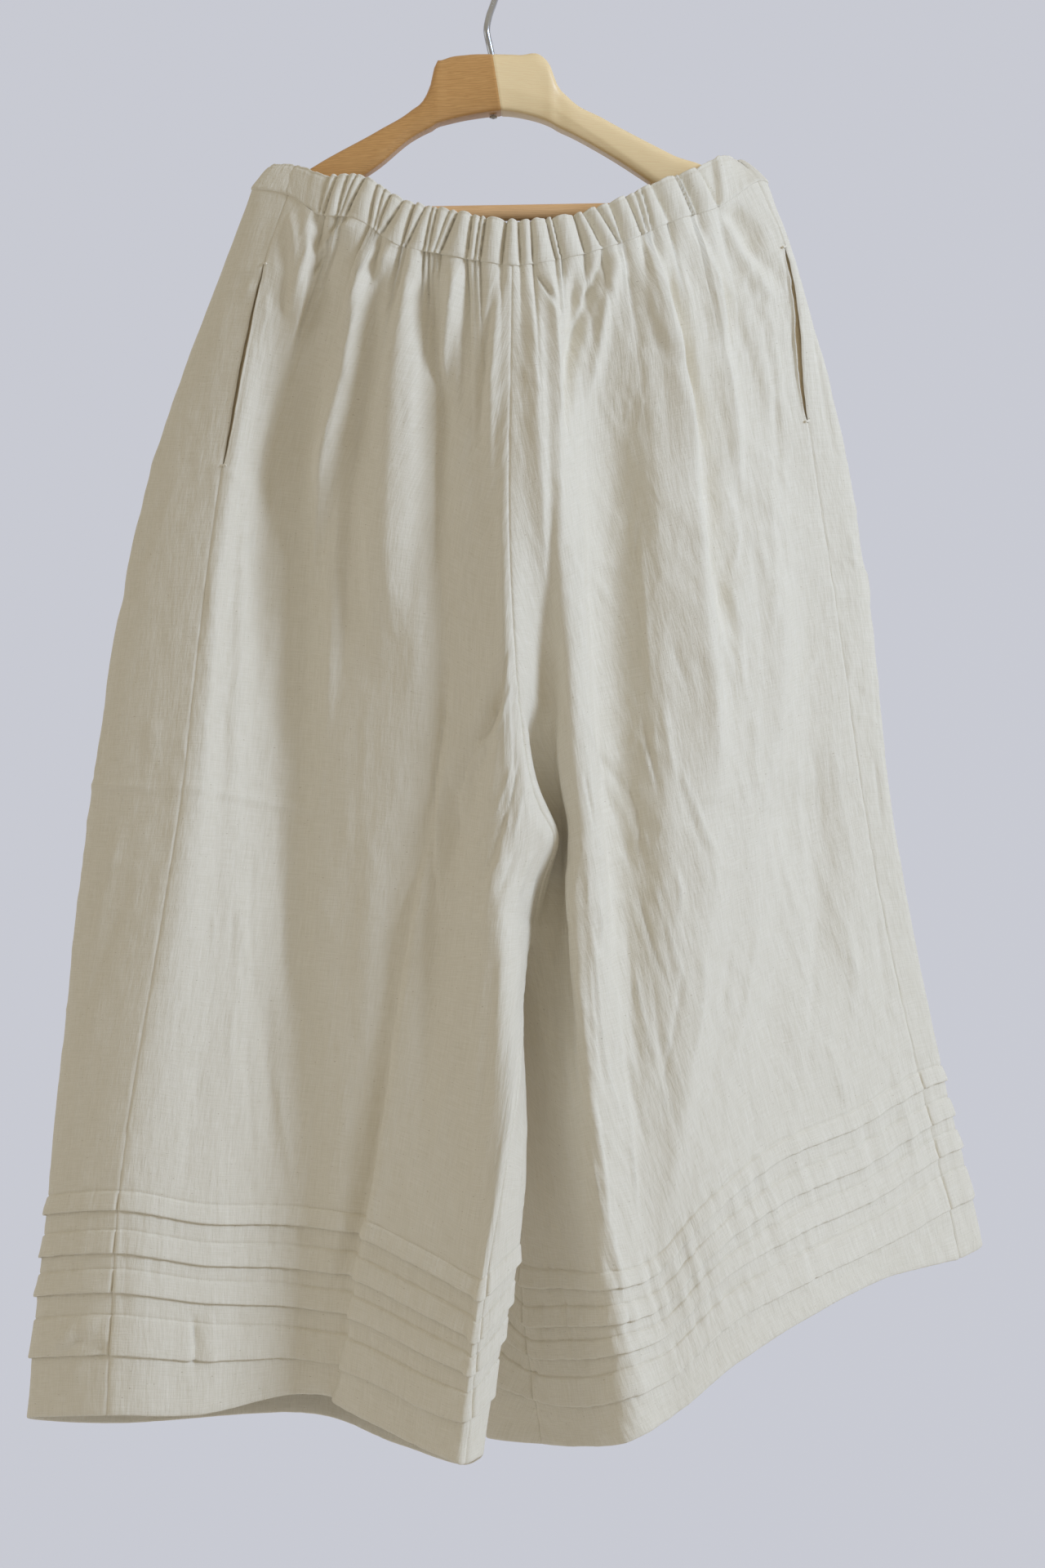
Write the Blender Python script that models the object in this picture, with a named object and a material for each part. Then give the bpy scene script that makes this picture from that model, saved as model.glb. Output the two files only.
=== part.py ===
"""Culottes on a wooden hanger, hung by the waist. Millimetres in the tables, metres in the scene.

Axes: +X to the right of the viewer, +Y away from the viewer, +Z up.
The origin is the inside top of the hanger's hook, and all else hangs below it.
"""
import bpy
import bmesh
import numpy as np

MM = 0.001

# Real sizes, millimetres
CLOTH = 1.3            # cloth wall
BAND_CLOTH = 2.4       # folded waistband with its elastic
TUCK_RISE = 1.7        # two more layers at the open edge of a tuck
SEAM_GAP = 0.3         # between two pieces at a seam
SLIT_OPEN = 2.6        # widest opening of a pocket slit
LENGTH = 836.0         # cloth length from the waist seam to the hem
WIRE = 4.6             # hook wire diameter
BAR = 11.0             # trouser bar diameter

# How far down the cloth each station lies, as a share of LENGTH
STATIONS = (0.0, 0.22, 0.40, 0.585, 0.72, 1.0)     # waist, hip, seat, crotch, knee, hem
CROTCH = 0.585
POCKET_TOP = 0.060
POCKET_END = 0.222

# Tucks round each leg: stitch line and lower edge, share of LENGTH
TUCKS = ((0.824, 0.839), (0.855, 0.873), (0.886, 0.904), (0.922, 0.953))

# Seam lines: down, x, y, z
LEFT_SIDE = (
    (0.000, -140, -12, -188), (0.060, -156, -15, -235), (0.220, -185, -9, -372),
    (0.400, -205, -6, -523), (0.490, -213, -6, -596), (0.585, -225, -5, -671),
    (0.830, -257, 0, -874), (1.000, -266, 4, -1023))
RIGHT_SIDE = (
    (0.000, 182, 6, -175), (0.060, 201, 10, -219), (0.220, 218, 22, -338),
    (0.400, 241, 44, -470), (0.585, 263, 68, -607), (0.720, 285, 90, -713),
    (0.830, 308, 112, -803), (1.000, 342, 145, -938))
CENTRE_FRONT = (
    (0.000, 13, -56, -244), (0.100, 12, -58, -313), (0.220, 11, -60, -411),
    (0.340, 15, -55, -497), (0.430, 21, -46, -560), (0.500, 29, -39, -606),
    (0.540, 36, -22, -636), (0.585, 28, 5, -684))
CENTRE_BACK = (
    (0.000, 13, 56, -250), (0.100, 13, 86, -312), (0.220, 13, 107, -387),
    (0.400, 18, 106, -556), (0.500, 22, 76, -634), (0.540, 25, 51, -658),
    (0.585, 28, 5, -684))
LEFT_INSEAM = (
    (0.585, 28, 5, -684), (0.640, 22, -18, -723), (0.720, 17, -38, -793),
    (0.830, -4, -52, -923), (1.000, -18, -58, -1042))
RIGHT_INSEAM = (
    (0.585, 28, 5, -684), (0.640, 28, 20, -726), (0.720, 20, 32, -806),
    (0.830, 19, 42, -931), (1.000, 33, 36, -1050))

# Lines down each panel between its seams: name, share of the way from the side seam
# to the centre, then x, y, z at the waist, hip, seat, crotch, knee and hem
FRONT_LEFT = (
    ("flank", 0.17, (-118, -26, -204), (-168, 0, -372), (-180, 8, -525),
     (-188, 10, -674), (-195, 12, -787), (-203, 16, -1025)),
    ("side valley", 0.34, (-92, -35, -209), (-143, 16, -373), (-147, 24, -528),
     (-149, 27, -678), (-147, 30, -792), (-137, 40, -1016)),
    ("thigh", 0.52, (-64, -43, -228), (-91, -12, -384), (-96, -3, -534),
     (-99, 6, -680), (-100, 9, -798), (-92, 2, -1024)),
    ("front", 0.70, (-35, -49, -235), (-42, -38, -398), (-42, -26, -546),
     (-44, -20, -684), (-49, -21, -803), (-52, -30, -1036)),
    ("inner front", 0.87, (-7, -54, -241), (-2, -54, -416), (1, -50, -560),
     (8, -50, -680), (-1, -46, -809), (-28, -56, -1040)))
FRONT_RIGHT = (
    ("flank", 0.14, (154, -12, -196), (186, 6, -346), (201, 18, -480),
     (214, 38, -624), (236, 57, -737), (285, 100, -944)),
    ("outer front", 0.29, (124, -27, -208), (150, -14, -359), (161, -9, -495),
     (169, 4, -638), (181, 21, -754), (227, 50, -961)),
    ("front", 0.44, (94, -39, -223), (112, -35, -370), (118, -32, -510),
     (125, -25, -651), (132, -12, -774), (169, 10, -988)),
    ("thigh", 0.59, (65, -49, -234), (80, -31, -380), (83, -28, -518),
     (91, -25, -662), (95, -23, -795), (126, -14, -1017)),
    ("inner ridge", 0.74, (39, -54, -241), (49, -53, -394), (53, -47, -530),
     (62, -40, -672), (65, -40, -804), (90, -34, -1033)),
    ("hollow", 0.88, (25, -56, -243), (31, -56, -402), (37, -23, -546),
     (46, 6, -680), (45, 0, -817), (57, 8, -1045)))
BACK_LEFT = (
    ("outer fold", 0.15, (-166, 6, -181), (-236, 22, -369), (-269, 29, -528),
     (-290, 36, -670), (-303, 39, -787), (-328, 48, -1034)),
    ("outer back", 0.32, (-131, 36, -192), (-200, 76, -369), (-224, 84, -526),
     (-240, 88, -675), (-248, 90, -795), (-266, 88, -1046)),
    ("back", 0.50, (-83, 49, -214), (-121, 95, -373), (-131, 103, -534),
     (-137, 102, -681), (-138, 96, -804), (-136, 84, -1038)),
    ("inner back", 0.68, (-42, 54, -236), (-45, 106, -378), (-45, 107, -543),
     (-48, 90, -684), (-55, 62, -812), (-66, 38, -1050)),
    ("seat", 0.84, (-13, 56, -247), (-5, 107, -385), (0, 106, -555),
     (-2, 60, -686), (3, 10, -815), (-18, -20, -1051)),
    ("inner edge", 0.94, (3, 56, -249), (5, 107, -387), (11, 105, -558),
     (12, 28, -690), (23, -12, -814), (-7, -46, -1039)))
BACK_RIGHT = (
    ("outer fold", 0.12, (189, 14, -176), (241, 38, -336), (266, 62, -469),
     (284, 84, -608), (306, 108, -714), (362, 165, -931)),
    ("outer back", 0.30, (163, 36, -184), (207, 88, -327), (231, 112, -466),
     (247, 138, -614), (268, 160, -729), (316, 205, -945)),
    ("back", 0.48, (115, 49, -212), (137, 103, -343), (148, 122, -495),
     (158, 142, -638), (173, 160, -759), (210, 190, -982)),
    ("inner back", 0.66, (69, 54, -234), (73, 106, -366), (78, 116, -525),
     (85, 125, -664), (92, 132, -799), (116, 150, -1029)),
    ("seat", 0.82, (40, 56, -246), (34, 107, -381), (39, 108, -549),
     (48, 72, -685), (31, 89, -818), (30, 102, -1053)),
    ("inner edge", 0.93, (23, 56, -249), (23, 107, -385), (27, 106, -555),
     (38, 32, -690), (14, 56, -817), (-4, 64, -1052)))

# How far each of those lines is pulled down the cloth at the first tuck and at the last one
SLIDES = {
    "front_left": ((5, 3), (8, 13), (3, 10), (12, 12), (21, 13)),
    "front_right": ((6, 13), (7, 13), (19, 9), (32, 13), (26, 10), (17, 11))}

# Gathers across the front waist seam: x of each valley, as the elastic pulls them
FRONT_GATHERS = (-117, -111, -105, -98, -89, -83, -76, -68, -57, -50, -40, -32, -24, -15,
                 -9, -3, 7, 20, 28, 37, 47, 63, 74, 84, 90, 102, 107, 120, 130, 137, 146, 156)
BACK_GATHERS = 17      # on the hidden side, uneven in the same way

# Waistband from lower edge to top edge: share of the way from the left side seam to the
# right one, then the step in x, y and z
FRONT_BAND = (
    (0.00, 4, 12, 22), (0.07, 4, 6, 27), (0.24, 4, 3, 31), (0.41, 1, 1, 30), (0.48, 0, 1, 30),
    (0.63, -3, 2, 28), (0.72, -4, 3, 30), (0.82, -4, 4, 30), (0.91, -4, 6, 33), (1.00, -13, 16, 17))
BACK_BAND = (
    (0.00, 4, 12, 22), (0.09, 15, 6, 18), (0.20, 9, -1, 28), (0.50, 0, -5, 31),
    (0.84, -9, -1, 30), (0.95, -16, 8, 18), (1.00, -13, 16, 17))

# Large folds. Columns: panel; place at the top, middle and bottom of the fold, each as
# (share across, share down); half width towards the side seam; half width towards the
# centre; rise, or depth if it is a trough (millimetres)
FOLDS = (
    ("front_left", (0.060, 0.013), (0.135, 0.045), (0.195, 0.095), 6, 9, 5),
    ("front_left", (0.425, 0.013), (0.465, 0.113), (0.435, 0.297), 17, 4.5, 7.5),
    ("front_left", (0.575, 0.015), (0.600, 0.163), (0.600, 0.395), 16, 11, 8),
    ("front_left", (0.635, 0.013), (0.675, 0.158), (0.655, 0.362), 5, 13, -7),
    ("front_left", (0.945, 0.018), (0.910, 0.077), (0.865, 0.152), 8, 12, 4),
    ("front_left", (0.770, 0.007), (0.725, 0.065), (0.675, 0.128), 7, 6, 4.5),
    ("front_left", (0.695, 0.438), (0.670, 0.650), (0.360, 0.988), 12, 7, -6),
    ("front_left", (0.910, 0.338), (0.785, 0.450), (0.720, 0.573), 9, 9, -4),
    ("front_right", (0.745, 0.013), (0.770, 0.158), (0.770, 0.345), 8, 10, 4.5),
    ("front_right", (0.625, 0.005), (0.690, 0.083), (0.735, 0.190), 6, 5, -5.5),
    ("front_right", (0.395, 0.018), (0.365, 0.130), (0.355, 0.370), 5, 15, 6.5),
    ("front_right", (0.360, 0.018), (0.330, 0.143), (0.335, 0.330), 5, 4.5, -6),
    ("front_right", (0.315, 0.015), (0.315, 0.103), (0.310, 0.200), 5, 6, 4.5),
    ("front_right", (0.195, 0.020), (0.220, 0.128), (0.240, 0.297), 5, 11, 5.5),
    ("front_right", (0.110, 0.007), (0.085, 0.028), (0.070, 0.062), 4, 5, -4.5),
    ("front_right", (0.090, 0.070), (0.085, 0.150), (0.090, 0.250), 7, 10, 2.5),
    ("front_right", (0.130, 0.247), (0.165, 0.408), (0.200, 0.562), 12, 16, 4),
    ("front_right", (0.375, 0.325), (0.345, 0.438), (0.325, 0.557), 9, 14, 4.5),
    ("front_right", (0.310, 0.230), (0.320, 0.318), (0.280, 0.410), 6, 6, -5),
    ("front_right", (0.160, 0.532), (0.205, 0.665), (0.290, 0.777), 18, 16, -4.5),
    ("front_right", (0.335, 0.547), (0.420, 0.698), (0.575, 0.835), 14, 14, 3.5),
    ("back_left", (0.30, 0.01), (0.26, 0.14), (0.25, 0.36), 13, 7, 6),
    ("back_left", (0.44, 0.01), (0.42, 0.20), (0.40, 0.52), 9, 12, -6),
    ("back_left", (0.58, 0.01), (0.60, 0.12), (0.57, 0.30), 8, 13, 6),
    ("back_left", (0.72, 0.01), (0.70, 0.17), (0.66, 0.44), 9, 9, -5),
    ("back_left", (0.84, 0.01), (0.82, 0.12), (0.78, 0.26), 8, 8, 4),
    ("back_left", (0.34, 0.45), (0.38, 0.70), (0.46, 0.99), 22, 16, -6),
    ("back_right", (0.24, 0.01), (0.25, 0.12), (0.22, 0.30), 9, 12, 6),
    ("back_right", (0.38, 0.01), (0.38, 0.18), (0.34, 0.47), 12, 8, -6),
    ("back_right", (0.52, 0.01), (0.50, 0.14), (0.52, 0.38), 12, 8, 6),
    ("back_right", (0.66, 0.01), (0.68, 0.16), (0.66, 0.35), 8, 10, -5),
    ("back_right", (0.80, 0.01), (0.80, 0.10), (0.77, 0.24), 8, 8, 4),
    ("back_right", (0.50, 0.42), (0.46, 0.68), (0.38, 0.99), 18, 24, -6))

# Pocket bag inside the front panel: top and foot (share down), deepest reach (share across)
BAG = (0.050, 0.300, 0.42)
BAG_CLOTH = 1.8        # two thin layers pressed together
BAG_ROOT = {"front_left": 3.1, "front_right": 2.5}     # how far behind the slit it starts

# Hanger arms, one row per section: x, top z, lower z, thickness, y of the middle
HANGER = (
    (-158, -191, -209, 13, 3.2), (-154, -186, -213, 16, 3.2), (-122, -166, -192, 18, 3),
    (-78, -142, -166, 19, 2), (-56, -129, -148, 20, 1), (-47, -121, -143, 21, 0),
    (-43, -112, -141, 22, 0), (-40, -99, -139, 22, -1), (-34, -95, -137, 22, -1),
    (-18, -92, -133, 23, -1), (0, -92, -131, 23, -1), (18, -92, -133, 23, -1),
    (34, -93, -137, 22, -1), (39, -99, -139, 22, -1), (43, -110, -141, 22, 0),
    (52, -121, -145, 21, 0), (75, -134, -157, 20, 2), (122, -158, -187, 18, 4),
    (156, -175, -208, 16, 5.1), (160, -180, -204, 13, 5.1))
BAR_ENDS = ((-146, 3.2, -200.5), (148, 5.0, -195.0))
SCREW_Z = -132.3

# Hook wire from the neck round to its tip: x, y, z
HOOK = (
    (-1, 0, -90.9), (-2.5, 0, -84), (-4.5, -2, -74), (-3, 3, -63), (0, 11, -52), (3, 19, -40),
    (5, 23, -26), (4.5, 20, -12), (2.5, 11, -1), (0, 0, 2.3), (-2.5, -11, -1), (-4.5, -19, -10),
    (-5.5, -22, -21), (-5.5, -21, -30))

SEAMS = {
    "front_left": (LEFT_SIDE, CENTRE_FRONT, LEFT_INSEAM),
    "front_right": (RIGHT_SIDE, CENTRE_FRONT, RIGHT_INSEAM),
    "back_left": (LEFT_SIDE, CENTRE_BACK, LEFT_INSEAM),
    "back_right": (RIGHT_SIDE, CENTRE_BACK, RIGHT_INSEAM)}
LINES = {"front_left": FRONT_LEFT, "front_right": FRONT_RIGHT,
         "back_left": BACK_LEFT, "back_right": BACK_RIGHT}
# Neighbour across the side seam, across the centre seam and across the inseam
NEIGHBOURS = {
    "front_left": ("back_left", "front_right", "back_left"),
    "front_right": ("back_right", "front_left", "back_right"),
    "back_left": ("front_left", "back_right", "front_left"),
    "back_right": ("front_right", "back_left", "front_right")}


def hermite(keys, values, t):
    """Smooth curve through values at keys, read at every t."""
    keys = np.asarray(keys, float)
    values = np.asarray(values, float)
    t = np.asarray(t, float)
    step = np.diff(keys)
    slope = np.diff(values, axis=0) / step.reshape((-1,) + (1,) * (values.ndim - 1))
    tangent = np.empty_like(values)
    tangent[0] = slope[0]
    tangent[-1] = slope[-1]
    for k in range(1, len(keys) - 1):
        tangent[k] = (slope[k - 1] * step[k] + slope[k] * step[k - 1]) / (step[k - 1] + step[k])
    i = np.clip(np.searchsorted(keys, t, side="right") - 1, 0, len(keys) - 2)
    h = step[i]
    f = (t - keys[i]) / h
    shape = f.shape + (1,) * (values.ndim - 1)
    f = f.reshape(shape)
    h = h.reshape(shape)
    a = 2 * f ** 3 - 3 * f ** 2 + 1
    b = f ** 3 - 2 * f ** 2 + f
    c = 3 * f ** 2 - 2 * f ** 3
    d = f ** 3 - f ** 2
    return a * values[i] + b * h * tangent[i] + c * values[i + 1] + d * h * tangent[i + 1]


def ease(t):
    t = np.clip(t, 0.0, 1.0)
    return t * t * (3 - 2 * t)


def seam_line(rows, v):
    table = np.array(rows, float)
    return hermite(table[:, 0], table[:, 1:], v)


def inner_line(panel, v):
    """The centre seam down to the crotch, then the inseam."""
    side, centre, inseam = SEAMS[panel]
    above = seam_line(centre, np.minimum(v, CROTCH))
    below = seam_line(inseam, np.maximum(v, CROTCH))
    return np.where((v <= CROTCH)[:, None], above, below)


def guide(panel, index, v):
    row = LINES[panel][index]
    v = np.asarray(v, float)
    if panel in SLIDES:
        first, last = SLIDES[panel][index]
        slide = hermite((0.50, 0.60, TUCKS[0][0], TUCKS[-1][1], 1.0), (0, 0, first, last, 0), v)
        v = v + np.where((v > 0.60) & (v < 1.0), slide, 0.0) / LENGTH
    return hermite(STATIONS, np.array(row[2:], float), v)


def base_surface(panel, u, v):
    """Points of a panel's middle surface: one row for each v, one column for each u."""
    v = np.asarray(v, float)
    lines = LINES[panel]
    beyond_side, beyond_centre, beyond_inseam = NEIGHBOURS[panel]
    keys = [-LINES[beyond_side][0][1], 0.0]
    columns = [guide(beyond_side, 0, v), seam_line(SEAMS[panel][0], v)]
    for index, row in enumerate(lines):
        keys.append(row[1])
        columns.append(guide(panel, index, v))
    keys.append(1.0)
    columns.append(inner_line(panel, v))
    above = guide(beyond_centre, -1, v)
    below = guide(beyond_inseam, -1, v)
    mix = ease((v - CROTCH + 0.03) / 0.04)[:, None]
    keys.append(1.0 + 0.5 * (2 - LINES[beyond_centre][-1][1] - LINES[beyond_inseam][-1][1]))
    columns.append(above * (1 - mix) + below * mix)
    stack = np.stack(columns, axis=0)
    return np.transpose(hermite(keys, stack, u), (1, 0, 2))


def unit(vectors):
    return vectors / np.maximum(np.linalg.norm(vectors, axis=-1, keepdims=True), 1e-9)


def grid_normals(panel, points, u, v):
    """Outward normals, and how much a sharp fold lengthens them to keep the wall's thickness."""
    step = unit(np.diff(points, axis=1))
    start = base_surface(panel, np.array([-0.01, 0.0]), v)
    end = base_surface(panel, np.array([1.0, 1.01]), v)
    before = np.concatenate((unit(np.diff(start, axis=1)), step), axis=1)
    after = np.concatenate((step, unit(np.diff(end, axis=1))), axis=1)
    across = unit(before + after)
    down = np.gradient(points, v, axis=0)
    normal = unit(np.cross(across, down))
    if panel in ("front_left", "back_right"):
        normal = -normal
    half_turn = np.sqrt(np.clip(0.5 + 0.5 * np.sum(before * after, axis=2), 0.0, 1.0))
    miter = 1.0 / np.maximum(half_turn, 0.55)
    miter[:, (0, -1)] = 1.0
    return normal, miter


def level(normal):
    """The same directions turned level."""
    return unit(normal * np.array((1.0, 1.0, 0.0)))


def puffs(x, valleys, rise):
    """Rounded puffs of cloth between the valleys of a gathered edge."""
    valleys = np.asarray(valleys, float)
    x = np.asarray(x, float)
    i = np.clip(np.searchsorted(valleys, x, side="right") - 1, 0, len(valleys) - 2)
    width = valleys[i + 1] - valleys[i]
    f = np.clip((x - valleys[i]) / width, 0.0, 1.0)
    inside = (x >= valleys[0]) & (x <= valleys[-1])
    hump = np.clip(4 * f * (1 - f), 0, 1) ** 0.7
    return np.where(inside, (hump - 0.6) * rise * np.clip(width / 10.0, 0.6, 1.35), 0.0)


def back_valleys():
    places = np.linspace(-126, 156, BACK_GATHERS)
    wander = 2.6 * np.sin(np.arange(BACK_GATHERS) * 2.3) + 1.4 * np.sin(np.arange(BACK_GATHERS) * 5.1)
    return places + wander


def gather(panel, points, v):
    """Puffs below the waist seam, fading down the cloth."""
    top = points[:1, :, 0]
    fade = np.exp(-v * LENGTH / 38.0)[:, None]
    return puffs(top, valleys_of(panel), 4.2) * fade


def fold_rise(panel, u, v, width):
    """Sum of the large folds at every (v, u) of a panel."""
    total = np.zeros((len(v), len(u)))
    for row in FOLDS:
        if row[0] != panel:
            continue
        top, middle, bottom, side_half, centre_half, rise = row[1:]
        down = (top[1], middle[1], bottom[1])
        line = hermite(down, (top[0], middle[0], bottom[0]), v)
        reach = ease((v - down[0]) / (0.25 * (down[2] - down[0])) + 0.3)
        reach = reach * ease((down[2] - v) / (0.35 * (down[2] - down[0])))
        reach = np.where((v < down[0] - 0.03) | (v > down[2]), 0.0, reach)
        offset = (u[None, :] - line[:, None]) * width[:, None]
        half = np.where(offset < 0, side_half, centre_half)
        total += rise * reach[:, None] * np.exp(-(offset / half) ** 2)
    return total


def valleys_of(panel):
    return np.array(FRONT_GATHERS) if panel.startswith("front") else back_valleys()


def columns_of(panel):
    """Places across a panel that fall on the gather valleys and on the puffs between."""
    fine = np.linspace(0, 1, 401)
    top = base_surface(panel, fine, np.array([0.0]))[0, :, 0]
    if top[0] > top[-1]:
        fine = fine[::-1]
        top = top[::-1]
    valleys = valleys_of(panel)
    wide = np.diff(valleys) > 8.5
    crowns = (0.5 * (valleys[1:] + valleys[:-1]))[wide]
    places = np.sort(np.concatenate((valleys, crowns)))
    places = places[(places > top[0] + 4.0) & (places < top[-1] - 3.0)]
    found = np.interp(places, top, fine)
    outer = 7 if panel.startswith("back") else 3
    side = np.linspace(0.0, found.min(), outer)
    return np.sort(np.concatenate((side[:-1], found, [1.0])))


def panel_grid(panel, u, rows):
    """Middle surface, outward normals and miters of a panel with its folds and gathers."""
    v = np.asarray(rows, float)
    points = base_surface(panel, u, v)
    normal = grid_normals(panel, points, u, v)[0]
    normal[:2] = level(normal[:2])
    width = np.linalg.norm(np.diff(points, axis=1), axis=2).sum(axis=1)
    edge = ease(u / 0.06) * ease((1 - u) / 0.06)
    rise = gather(panel, points, v) + fold_rise(panel, u, v, width) * edge[None, :]
    points = points + normal * rise[:, :, None]
    normal, miter = grid_normals(panel, points, u, v)
    return points, normal, miter, v


def seam_gaps(panel, points, normal, v):
    """Draw a panel's edges back from its seams, and open the pocket slit."""
    points = points.copy()
    for column, inner in ((0, 1), (-1, -2)):
        along = points[:, inner] - points[:, column]
        along = along - normal[:, column] * np.sum(along * normal[:, column], axis=1)[:, None]
        along = along / np.linalg.norm(along, axis=1)[:, None]
        step = np.full(len(v), 0.5 * SEAM_GAP)
        if column == 0 and panel.startswith("front"):
            f = np.clip((v - POCKET_TOP) / (POCKET_END - POCKET_TOP), 0, 1)
            step = step + SLIT_OPEN * np.sin(np.pi * f) ** 0.5
        if column == -1:
            at_crotch = np.exp(-((v - CROTCH) / 0.008) ** 2)
            step = step + 1.2 * at_crotch
            points[:, column, 0] += (1.3 if panel.endswith("right") else -1.3) * at_crotch
        points[:, column] += along * step[:, None]
    points[0, :, 2] -= SEAM_GAP
    return points


def solid(name, outer, inner, material, closed=False):
    """One closed wall between an outer and an inner grid of points (rows, columns, 3)."""
    rows, columns = outer.shape[:2]
    verts = np.concatenate((outer.reshape(-1, 3), inner.reshape(-1, 3))) * MM
    faces = []
    half = rows * columns
    for r in range(rows - 1):
        for c in range(columns - 1):
            a = r * columns + c
            b = a + 1
            d = a + columns
            e = d + 1
            faces.append((a, b, e, d))
            faces.append((half + a, half + d, half + e, half + b))
    for c in range(columns - 1):
        faces.append((c, half + c, half + c + 1, c + 1))
        a = (rows - 1) * columns + c
        faces.append((a, a + 1, half + a + 1, half + a))
    for r in range(rows - 1):
        a = r * columns
        faces.append((a, a + columns, half + a + columns, half + a))
        b = a + columns - 1
        faces.append((b, half + b, half + b + columns, b + columns))
    return add_mesh(name, verts, faces, material)


def add_mesh(name, verts, faces, material):
    mesh = bpy.data.meshes.new(name)
    mesh.from_pydata([tuple(v) for v in verts], [], faces)
    work = bmesh.new()
    work.from_mesh(mesh)
    bmesh.ops.recalc_face_normals(work, faces=work.faces)
    work.to_mesh(mesh)
    work.free()
    mesh.materials.append(material)
    obj = bpy.data.objects.new(name, mesh)
    bpy.context.scene.collection.objects.link(obj)
    return obj


def material(name, colour, roughness, metallic=0.0):
    made = bpy.data.materials.new(name)
    made.use_nodes = True
    shader = made.node_tree.nodes["Principled BSDF"]
    shader.inputs["Base Color"].default_value = colour + (1.0,)
    shader.inputs["Roughness"].default_value = roughness
    shader.inputs["Metallic"].default_value = metallic
    return made


def tube(name, path, radius, sides, made):
    """A closed round rod along a path, with slightly domed ends."""
    path = np.asarray(path, float)
    tangent = np.gradient(path, axis=0)
    tangent /= np.linalg.norm(tangent, axis=1)[:, None]
    lead = np.array((1.0, 0.0, 0.0)) if abs(tangent[0][0]) < 0.8 else np.array((0.0, 1.0, 0.0))
    verts = []
    for point, along in zip(path, tangent):
        first = lead - along * np.dot(lead, along)
        first /= np.linalg.norm(first)
        second = np.cross(along, first)
        lead = first
        for k in range(sides):
            angle = 2 * np.pi * k / sides
            verts.append(point + radius * (np.cos(angle) * first + np.sin(angle) * second))
    faces = []
    count = len(path)
    for r in range(count - 1):
        for k in range(sides):
            a = r * sides + k
            b = r * sides + (k + 1) % sides
            faces.append((a, b, b + sides, a + sides))
    start = len(verts)
    verts.append(path[0] - tangent[0] * radius * 0.35)
    verts.append(path[-1] + tangent[-1] * radius * 0.35)
    for k in range(sides):
        n = (k + 1) % sides
        faces.append((start, n, k))
        last = (count - 1) * sides
        faces.append((start + 1, last + k, last + n))
    return add_mesh(name, np.array(verts) * MM, faces, made)


def bore(target, path, radius, sides):
    """Cut round sockets for the bar into the arms."""
    cutter = tube("bar_cutter", path, radius, sides, target.data.materials[0])
    cutter.hide_render = True
    cutter.display_type = "WIRE"
    cut = target.modifiers.new("sockets", "BOOLEAN")
    cut.operation = "DIFFERENCE"
    cut.solver = "EXACT"
    cut.object = cutter


def tuck_rows():
    """Rows of the leg below the crotch: each tuck has a stitch line, an edge and a step."""
    rows = []
    rise = []
    for stitch, edge in TUCKS:
        rows += [stitch, edge, edge + 0.0006]
        rise += [0.0, TUCK_RISE, 0.0]
    rows += [0.977, 1.0]
    rise += [0.0, 0.0]
    return rows, rise


def panel_grids(rows):
    """All four panels on the same rows, with one shared line and normal along each seam."""
    grids = {}
    for panel in LINES:
        points, normal, miter, v = panel_grid(panel, columns_of(panel), rows)
        normal[0] = level(normal[0])
        grids[panel] = (points, normal, miter)
    crotch = int(np.argmin(np.abs(v - CROTCH)))
    front_left, front_right, back_left, back_right = (grids[k] for k in LINES)
    below = slice(crotch + 1, None)
    above = slice(0, crotch)
    share(((front_left, 0), (back_left, 0)), slice(None))
    share(((front_right, 0), (back_right, 0)), slice(None))
    share(((front_left, -1), (front_right, -1)), above)
    share(((back_left, -1), (back_right, -1)), above)
    share(((front_left, -1), (back_left, -1)), below)
    share(((front_right, -1), (back_right, -1)), below)
    share([(grids[k], -1) for k in LINES], slice(crotch, crotch + 1), (0,))
    return grids, v


def share(edges, part, kinds=(0, 1)):
    """Give the edges that meet at a seam the same points and the same normals."""
    for which in kinds:
        mean = sum(grid[which][part, column] for grid, column in edges) / len(edges)
        if which == 1:
            mean = mean / np.linalg.norm(mean, axis=1, keepdims=True)
        for grid, column in edges:
            grid[which][part, column] = mean


def build_panels(body_rows, made):
    tuck, tuck_rise = tuck_rows()
    outward = np.array([0.0] * len(body_rows) + tuck_rise)
    grids, v = panel_grids(list(body_rows) + tuck)
    for panel, (points, normal, miter) in grids.items():
        points = seam_gaps(panel, points, normal, v)
        wall = 0.5 * CLOTH * miter[:, :, None]
        outer = points + normal * (wall + outward[:, None, None])
        inner = points - normal * wall
        solid(panel + "_panel", outer, inner, made)
    return grids


def band_places(panels):
    """Places along the waist (0 left side seam, 1 centre, 2 right side seam): first those of
    the panels, then two more on each puff."""
    left = columns_of(panels[0])
    right = 2.0 - columns_of(panels[1])[::-1]
    cloth_at = np.concatenate((left, right[1:]))
    fine = np.linspace(0.0, 2.0, 801)
    x = waist_ring(panels, fine)[:, 0]
    turn = np.argmin(x)
    far = np.argmax(x)
    valley_at = np.interp(valleys_of(panels[0]), x[turn:far + 1], fine[turn:far + 1])
    width = np.diff(valley_at)
    extra = np.concatenate((valley_at[:-1] + 0.28 * width, valley_at[:-1] + 0.72 * width))
    return cloth_at, np.sort(np.concatenate((cloth_at, extra)))


def waist_ring(panels, at):
    """Waist seam of a pair of panels, from the left side seam to the right one."""
    top = np.array([0.0])
    left = base_surface(panels[0], np.minimum(at, 1.0), top)[0]
    right = base_surface(panels[1], np.minimum(2.0 - at, 1.0), top)[0]
    return np.where((at <= 1.0)[:, None], left, right)


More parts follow.
